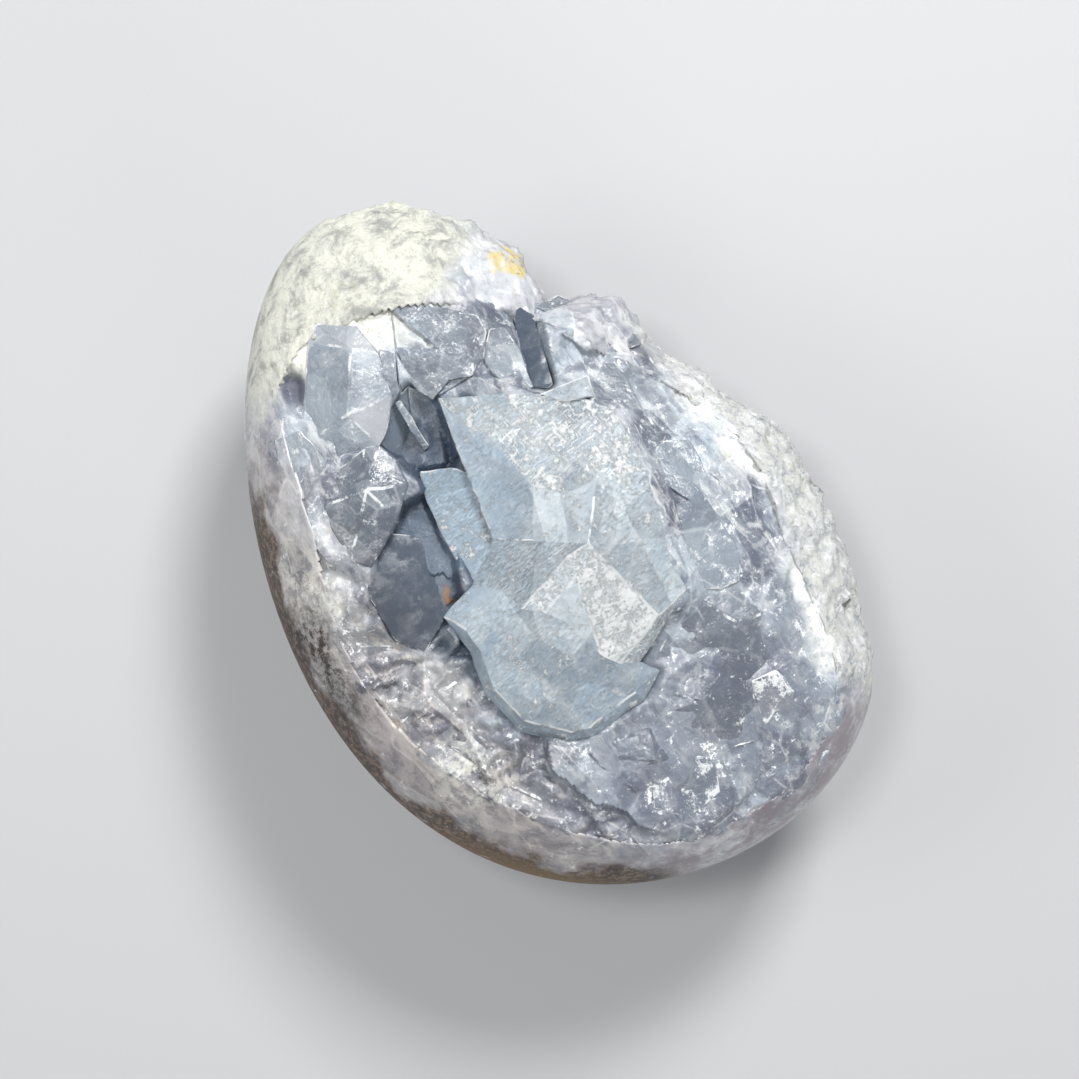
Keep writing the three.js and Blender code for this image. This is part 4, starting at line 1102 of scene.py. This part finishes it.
underPlates = {
    "edge": 0.16,
    "levels": 3,
    "crystals": [
        (0.9, 27, (0.6, 0.3, 0), [
            (-4.2, 13.7, 39.6), (-1.2, 11.9, 40.4), (0.6, 9, 40.6), (-1.2, 3, 41), (-5.6, -0.6, 40.9),
            (-7.5, 0.4, 40.2), (-7, 6.1, 39.3), (-5.7, 10.7, 39)]),
        (0.9, 36, (0.8, 0.5, 0), [
            (11.4, 11.8, 42.6), (16.8, 10.1, 42.4), (15.9, 7.9, 43.3), (12.7, 9.6, 43.4)]),
    ],
}

# The faces of the large crystal in the middle, each with its kind
clusterFaces = [
    ("etched", "plateTip plateTop plateNeck plateBend plateSide plateEast waistEast waist waistMid"
               " waistWest plateFoot plateHeel"),
    ("pane", "plateTip plateHeel plateFoot waistWest windowEast windowWest"),
    ("clear", "windowEast waistWest waistMid waist waistEast shoulder peak"),
    ("flank", "shoulder waistEast plateEast flankTop flank blockEast ridgeEnd peak"),
    ("streaked", "windowWest windowEast peak finTop finFoot streakCorner notchCorner"),
    ("pale", "finTop innerTop finHeel finFoot"),
    ("sugar", "peak ridgeEnd bandEnd innerEnd innerTop finTop"),
    ("clear", "innerTop innerEnd innerFoot finHeel"),
    ("pale", "ridgeEnd blockEast bandOut bandEnd"),
    ("pane", "notchCorner streakCorner finFoot tipRidge tip"),
    ("skirt", "tip tipRidge brimA skirtA"),
    ("front", "finFoot finHeel innerFoot brimC brimB brimA tipRidge"),
    ("front", "innerFoot innerEnd bandEnd bandOut brimF brimE brimD brimC"),
    ("skirt", "skirtA brimA brimB skirtB"), ("skirt", "skirtB brimB brimC skirtC"),
    ("skirt", "skirtC brimC brimD skirtD"), ("skirt", "skirtD brimD brimE skirtE"),
    ("skirt", "skirtE brimE brimF skirtF"), ("skirt", "skirtF brimF bandOut skirtG"),
]
# For each kind of face: its lightness, how much white lies on it, and how streaked it is
faceKinds = {
    "etched": (0.5, 0.66, 0.3), "pane": (0.3, 0.2, 0.2), "clear": (0.75, 0.25, 0.1),
    "flank": (0.66, 0.42, 0.35), "streaked": (0.4, 0.25, 1), "pale": (0.95, 0.6, 0.1),
    "sugar": (0.95, 0.95, 0.2), "skirt": (0.25, 0.35, 0.1), "front": (0.42, 0.32, 0.3),
}
# Edges of the large crystal bevelled into a wider frosted band, white partly as a painted highlight
brightEdges = [
    ("windowWest", "windowEast"), ("plateTip", "windowWest"), ("peak", "ridgeEnd"), ("finTop", "finFoot"),
    ("innerTop", "finHeel"), ("ridgeEnd", "bandEnd"), ("blockEast", "ridgeEnd"), ("shoulder", "peak"),
    ("tip", "tipRidge"), ("brimC", "brimD"), ("brimB", "brimC"), ("brimE", "brimF"),
    ("innerTop", "innerEnd"),
]
cluster = {"base": 28, "brightEdge": 0.16, "edge": 0.08, "sharpAngle": 20, "levels": 4}


def makeCluster():
    # No primitive comes near its uneven faces, so they are laid between the named corners
    names = list(clusterCorners)
    mesh = bpy.data.meshes.new("centralCluster")
    faces = [[names.index(corner) for corner in face.split()] for kind, face in clusterFaces]
    mesh.from_pydata([Vector(clusterCorners[n]) * mm for n in names], [], faces)
    crystal = bpy.data.objects.new("centralCluster", mesh)
    bpy.context.scene.collection.objects.link(crystal)
    mesh.materials.append(paleCrystal)
    mesh.materials.append(None)
    for i, name in enumerate(("tone", "white", "streak")):
        mark(crystal, name, [faceKinds[kind][i] for kind, face in clusterFaces])
    makeActive(crystal)
    # Walls and foot: the whole top is drawn down and laid flat
    bpy.ops.object.mode_set(mode="EDIT")
    bpy.ops.mesh.select_all(action="SELECT")
    bpy.ops.mesh.extrude_region_move(TRANSFORM_OT_translate={"value": (0, 0, -20 * mm)})
    bpy.ops.mesh.select_all(action="SELECT")
    bpy.ops.mesh.normals_make_consistent(inside=False)
    bpy.ops.object.mode_set(mode="OBJECT")
    points = pointsOf(crystal)
    low = points[:, 2] < cluster["base"] + 2
    points[low, 2] = cluster["base"]
    setPoints(crystal, points)
    closeBelow(crystal, low)
    points = pointsOf(crystal)
    top = {}
    for i, point in enumerate(points):
        for name, corner in clusterCorners.items():
            if np.abs(point - corner).max() < 1e-3:
                top[name] = i
    bright = [frozenset((top[a], top[b])) for a, b in brightEdges]
    clearSelection(mesh)
    for edge in mesh.edges:
        edge.select = frozenset(edge.vertices) in bright
    bpy.ops.object.mode_set(mode="EDIT")
    bpy.ops.mesh.select_mode(type="EDGE")
    bpy.ops.mesh.bevel(offset=cluster["brightEdge"] * mm, segments=2, affect="EDGES",
                       clamp_overlap=True, material=1)
    bpy.ops.mesh.select_all(action="DESELECT")
    bpy.ops.mesh.edges_select_sharp(sharpness=math.radians(cluster["sharpAngle"]))
    bpy.ops.mesh.bevel(offset=cluster["edge"] * mm, segments=1, affect="EDGES",
                       clamp_overlap=True, material=-1)
    bpy.ops.mesh.select_all(action="SELECT")
    bpy.ops.mesh.quads_convert_to_tris()
    bpy.ops.object.mode_set(mode="OBJECT")
    keepFrostAndHighlight(crystal)
    finishFacets(crystal, cluster["levels"])
    return crystal


def makeGroup(name, group, material):
    parts = [makeCrystal(f"{name}{i}", row, group, material) for i, row in enumerate(group["crystals"])]
    return joinPieces(parts, name)


def reachOf(corners):
    midX = sum(c[0] for c in corners) / len(corners)
    midY = sum(c[1] for c in corners) / len(corners)
    return midX, midY, sum(math.hypot(c[0] - midX, c[1] - midY) for c in corners) / len(corners)


def cornersOf(groups):
    return [corners for group in groups for foot, base, look, corners in group["crystals"]]


rimBlocks = {
    "bands": ((0.97, 34), (0.8, 26), (0.64, 20)),  # each ring's reach and how many blocks it has
    "centerX": 1,
    "centerY": -4,
    "ringWidth": 23.5,
    "ringLength": 35.5,
    "radius": 4.2,
    "drop": 1.6,           # how far they lie below the egg's front
    "lean": 0.55,
    "lowest": 0.5,
    "edgeSpace": 1,
    "foot": 1.5,
    "base": 28,
    "look": (0.5, 0.4, 0.15),
    "edge": 0.1,
    "levels": 2,
    "seed": 29,
    "cornerSpace": 3,      # kept clear round each corner of the large crystals
    "reachShare": 0.95,
    "clusterReaches": [(7, 3, 9), (-3, -12, 9)],
}
largeReaches = rimBlocks["clusterReaches"] + [reachOf(corners) for corners in cornersOf(
    (headBlades, notchPrism, rightFacets, lowerFacets, recessFacets, underPlates))]
largeCorners = [corner[:2] for corners in cornersOf((headBlades, rightFacets, notchPrism))
                for corner in corners]
largeCorners += [corner[:2] for corner in clusterCorners.values()]


def isTaken(x, y):
    if any(math.hypot(x - a, y - b) < rimBlocks["cornerSpace"] for a, b in largeCorners):
        return True
    if any(insideOf(recess["outline"], np.float64(x), np.float64(y)) > 0 for recess in recesses):
        return True
    return any(math.hypot(x - a, y - b) < rimBlocks["reachShare"] * reach for a, b, reach in largeReaches)


def makeBlockRows():
    # Low broken blocks in rings round the hollow, each with corners on one tilted plane
    state = rimBlocks["seed"]
    midX, midY = rimBlocks["centerX"], rimBlocks["centerY"]

    def draw():
        nonlocal state
        state = (state * 1664525 + 1013904223) % 4294967296
        return state / 4294967296

    rows = []
    for band, (reach, count) in enumerate(rimBlocks["bands"]):
        for i in range(count):
            turn = 2 * math.pi * (i + 0.5 * band + 0.5 * draw()) / count
            x = midX + rimBlocks["ringWidth"] * reach * math.cos(turn)
            y = midY + rimBlocks["ringLength"] * reach * math.sin(turn)
            size = rimBlocks["radius"] * (0.7 + 0.6 * draw())
            stretch = 1 + 0.7 * draw()
            spin = math.pi * draw()
            leanX = (draw() - 0.5) * rimBlocks["lean"]
            leanY = (draw() - 0.5) * rimBlocks["lean"]
            top = float(skinHeight(np.float64(x), np.float64(y))) - rimBlocks["drop"] * (0.6 + 0.9 * draw())
            sides = 4 + math.floor(3 * draw())
            if isTaken(x, y):
                continue
            corners = []
            for k in range(sides):
                angle = 2 * math.pi * (k + 0.5 * draw()) / sides
                u = size * stretch * math.cos(angle)
                v = size * math.sin(angle) / stretch
                dx = u * math.cos(spin) - v * math.sin(spin)
                dy = u * math.sin(spin) + v * math.cos(spin)
                cornerX, cornerY = np.float64(x + dx), np.float64(y + dy)
                inward = 1
                while insideOf(hollowEdge, cornerX, cornerY) < rimBlocks["edgeSpace"]:
                    inward -= 0.04
                    cornerX = midX + np.float64(x + dx - midX) * inward
                    cornerY = midY + np.float64(y + dy - midY) * inward
                limit = float(skinHeight(cornerX, cornerY)) - rimBlocks["lowest"]
                corners.append((cornerX, cornerY, min(top + leanX * dx + leanY * dy, limit)))
            rows.append((rimBlocks["foot"], rimBlocks["base"], rimBlocks["look"], corners))
    return rows


stone = makeStone()
blades = makeGroup("headBlades", headBlades, greyCrystal)
notch = makeGroup("notchPrism", notchPrism, greyCrystal)
lumps = makeGroup("rimLumps", rimLumps, greyCrystal)
right = makeGroup("rightFacets", rightFacets, greyCrystal)
lower = makeGroup("lowerFacets", lowerFacets, greyCrystal)
deep = makeGroup("recessFacets", recessFacets, greyCrystal)
plates = makeGroup("underPlates", underPlates, paleCrystal)
middle = makeCluster()
rimBlocks["crystals"] = makeBlockRows()
blocks = makeGroup("rimBlocks", rimBlocks, greyCrystal)
ground = makeGround([right, lower, blocks], blades, middle)
print("crystals made")

for piece in (ground, blades, notch, right, lower, deep, plates, middle, blocks):
    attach(piece, "root")
    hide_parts("crystal_crust")
for piece in (stone, lumps):
    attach(piece, "root")
    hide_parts("geode_stone")

# Floor, light and camera
studio = {
    "floorSize": 4,
    "cameraHeight": 0.327,
    "cameraPlace": (0.00134, -0.0005),
    "imageUp": (0.632, 0.775),
    "frameAngle": 23.4,
    "aim": (0, 0, 0.03),
    "floorColor": (0.5, 0.5, 0.51, 1),
    "floorRoughness": 0.7,
    "skyColor": (0.93, 0.96, 1, 1),
    "skyStrength": 0.3,
    # Each light's name, place, width and power
    "lights": [
        ("keyLight", (0.3, 0.16, 0.42), 0.12, 2.6),
        ("glintLight", (-0.03, 0.1, 0.5), 0.08, 0.8),
        ("fillLight", (-0.3, 0.25, 0.4), 0.2, 0.6),
        ("lowLight", (-0.1, -0.5, 0.25), 0.2, 0.5),
    ],
}


def makeStudio():
    deselectAll()
    bpy.ops.mesh.primitive_plane_add(size=studio["floorSize"], location=(0, 0, 0))
    floor = bpy.context.object
    floor.name = "floor"
    material, shader = newMaterial("paleFloor")
    shader.inputs["Base Color"].default_value = studio["floorColor"]
    shader.inputs["Roughness"].default_value = studio["floorRoughness"]
    floor.data.materials.append(material)
    world = bpy.data.worlds.new("studio")
    bpy.context.scene.world = world
    world.use_nodes = True
    sky = world.node_tree.nodes["Background"]
    sky.inputs["Color"].default_value = studio["skyColor"]
    sky.inputs["Strength"].default_value = studio["skyStrength"]
    for name, place, size, power in studio["lights"]:
        data = bpy.data.lights.new(name, "AREA")
        data.energy = power
        data.size = size
        light = bpy.data.objects.new(name, data)
        light.location = place
        light.rotation_euler = (Vector(studio["aim"]) - Vector(place)).to_track_quat("-Z", "Y").to_euler()
        bpy.context.scene.collection.objects.link(light)
    data = bpy.data.cameras.new("camera")
    data.sensor_width = 36
    data.lens = data.sensor_width / 2 / math.tan(math.radians(studio["frameAngle"] / 2))
    data.clip_start = 0.01
    camera = bpy.data.objects.new("camera", data)
    camera.location = (*studio["cameraPlace"], studio["cameraHeight"])
    camera.rotation_euler = (0, 0, -math.atan2(*studio["imageUp"]))
    bpy.context.scene.collection.objects.link(camera)
    bpy.context.scene.camera = camera
    bpy.context.scene.view_settings.view_transform = "Standard"


makeStudio()
print("studio made")
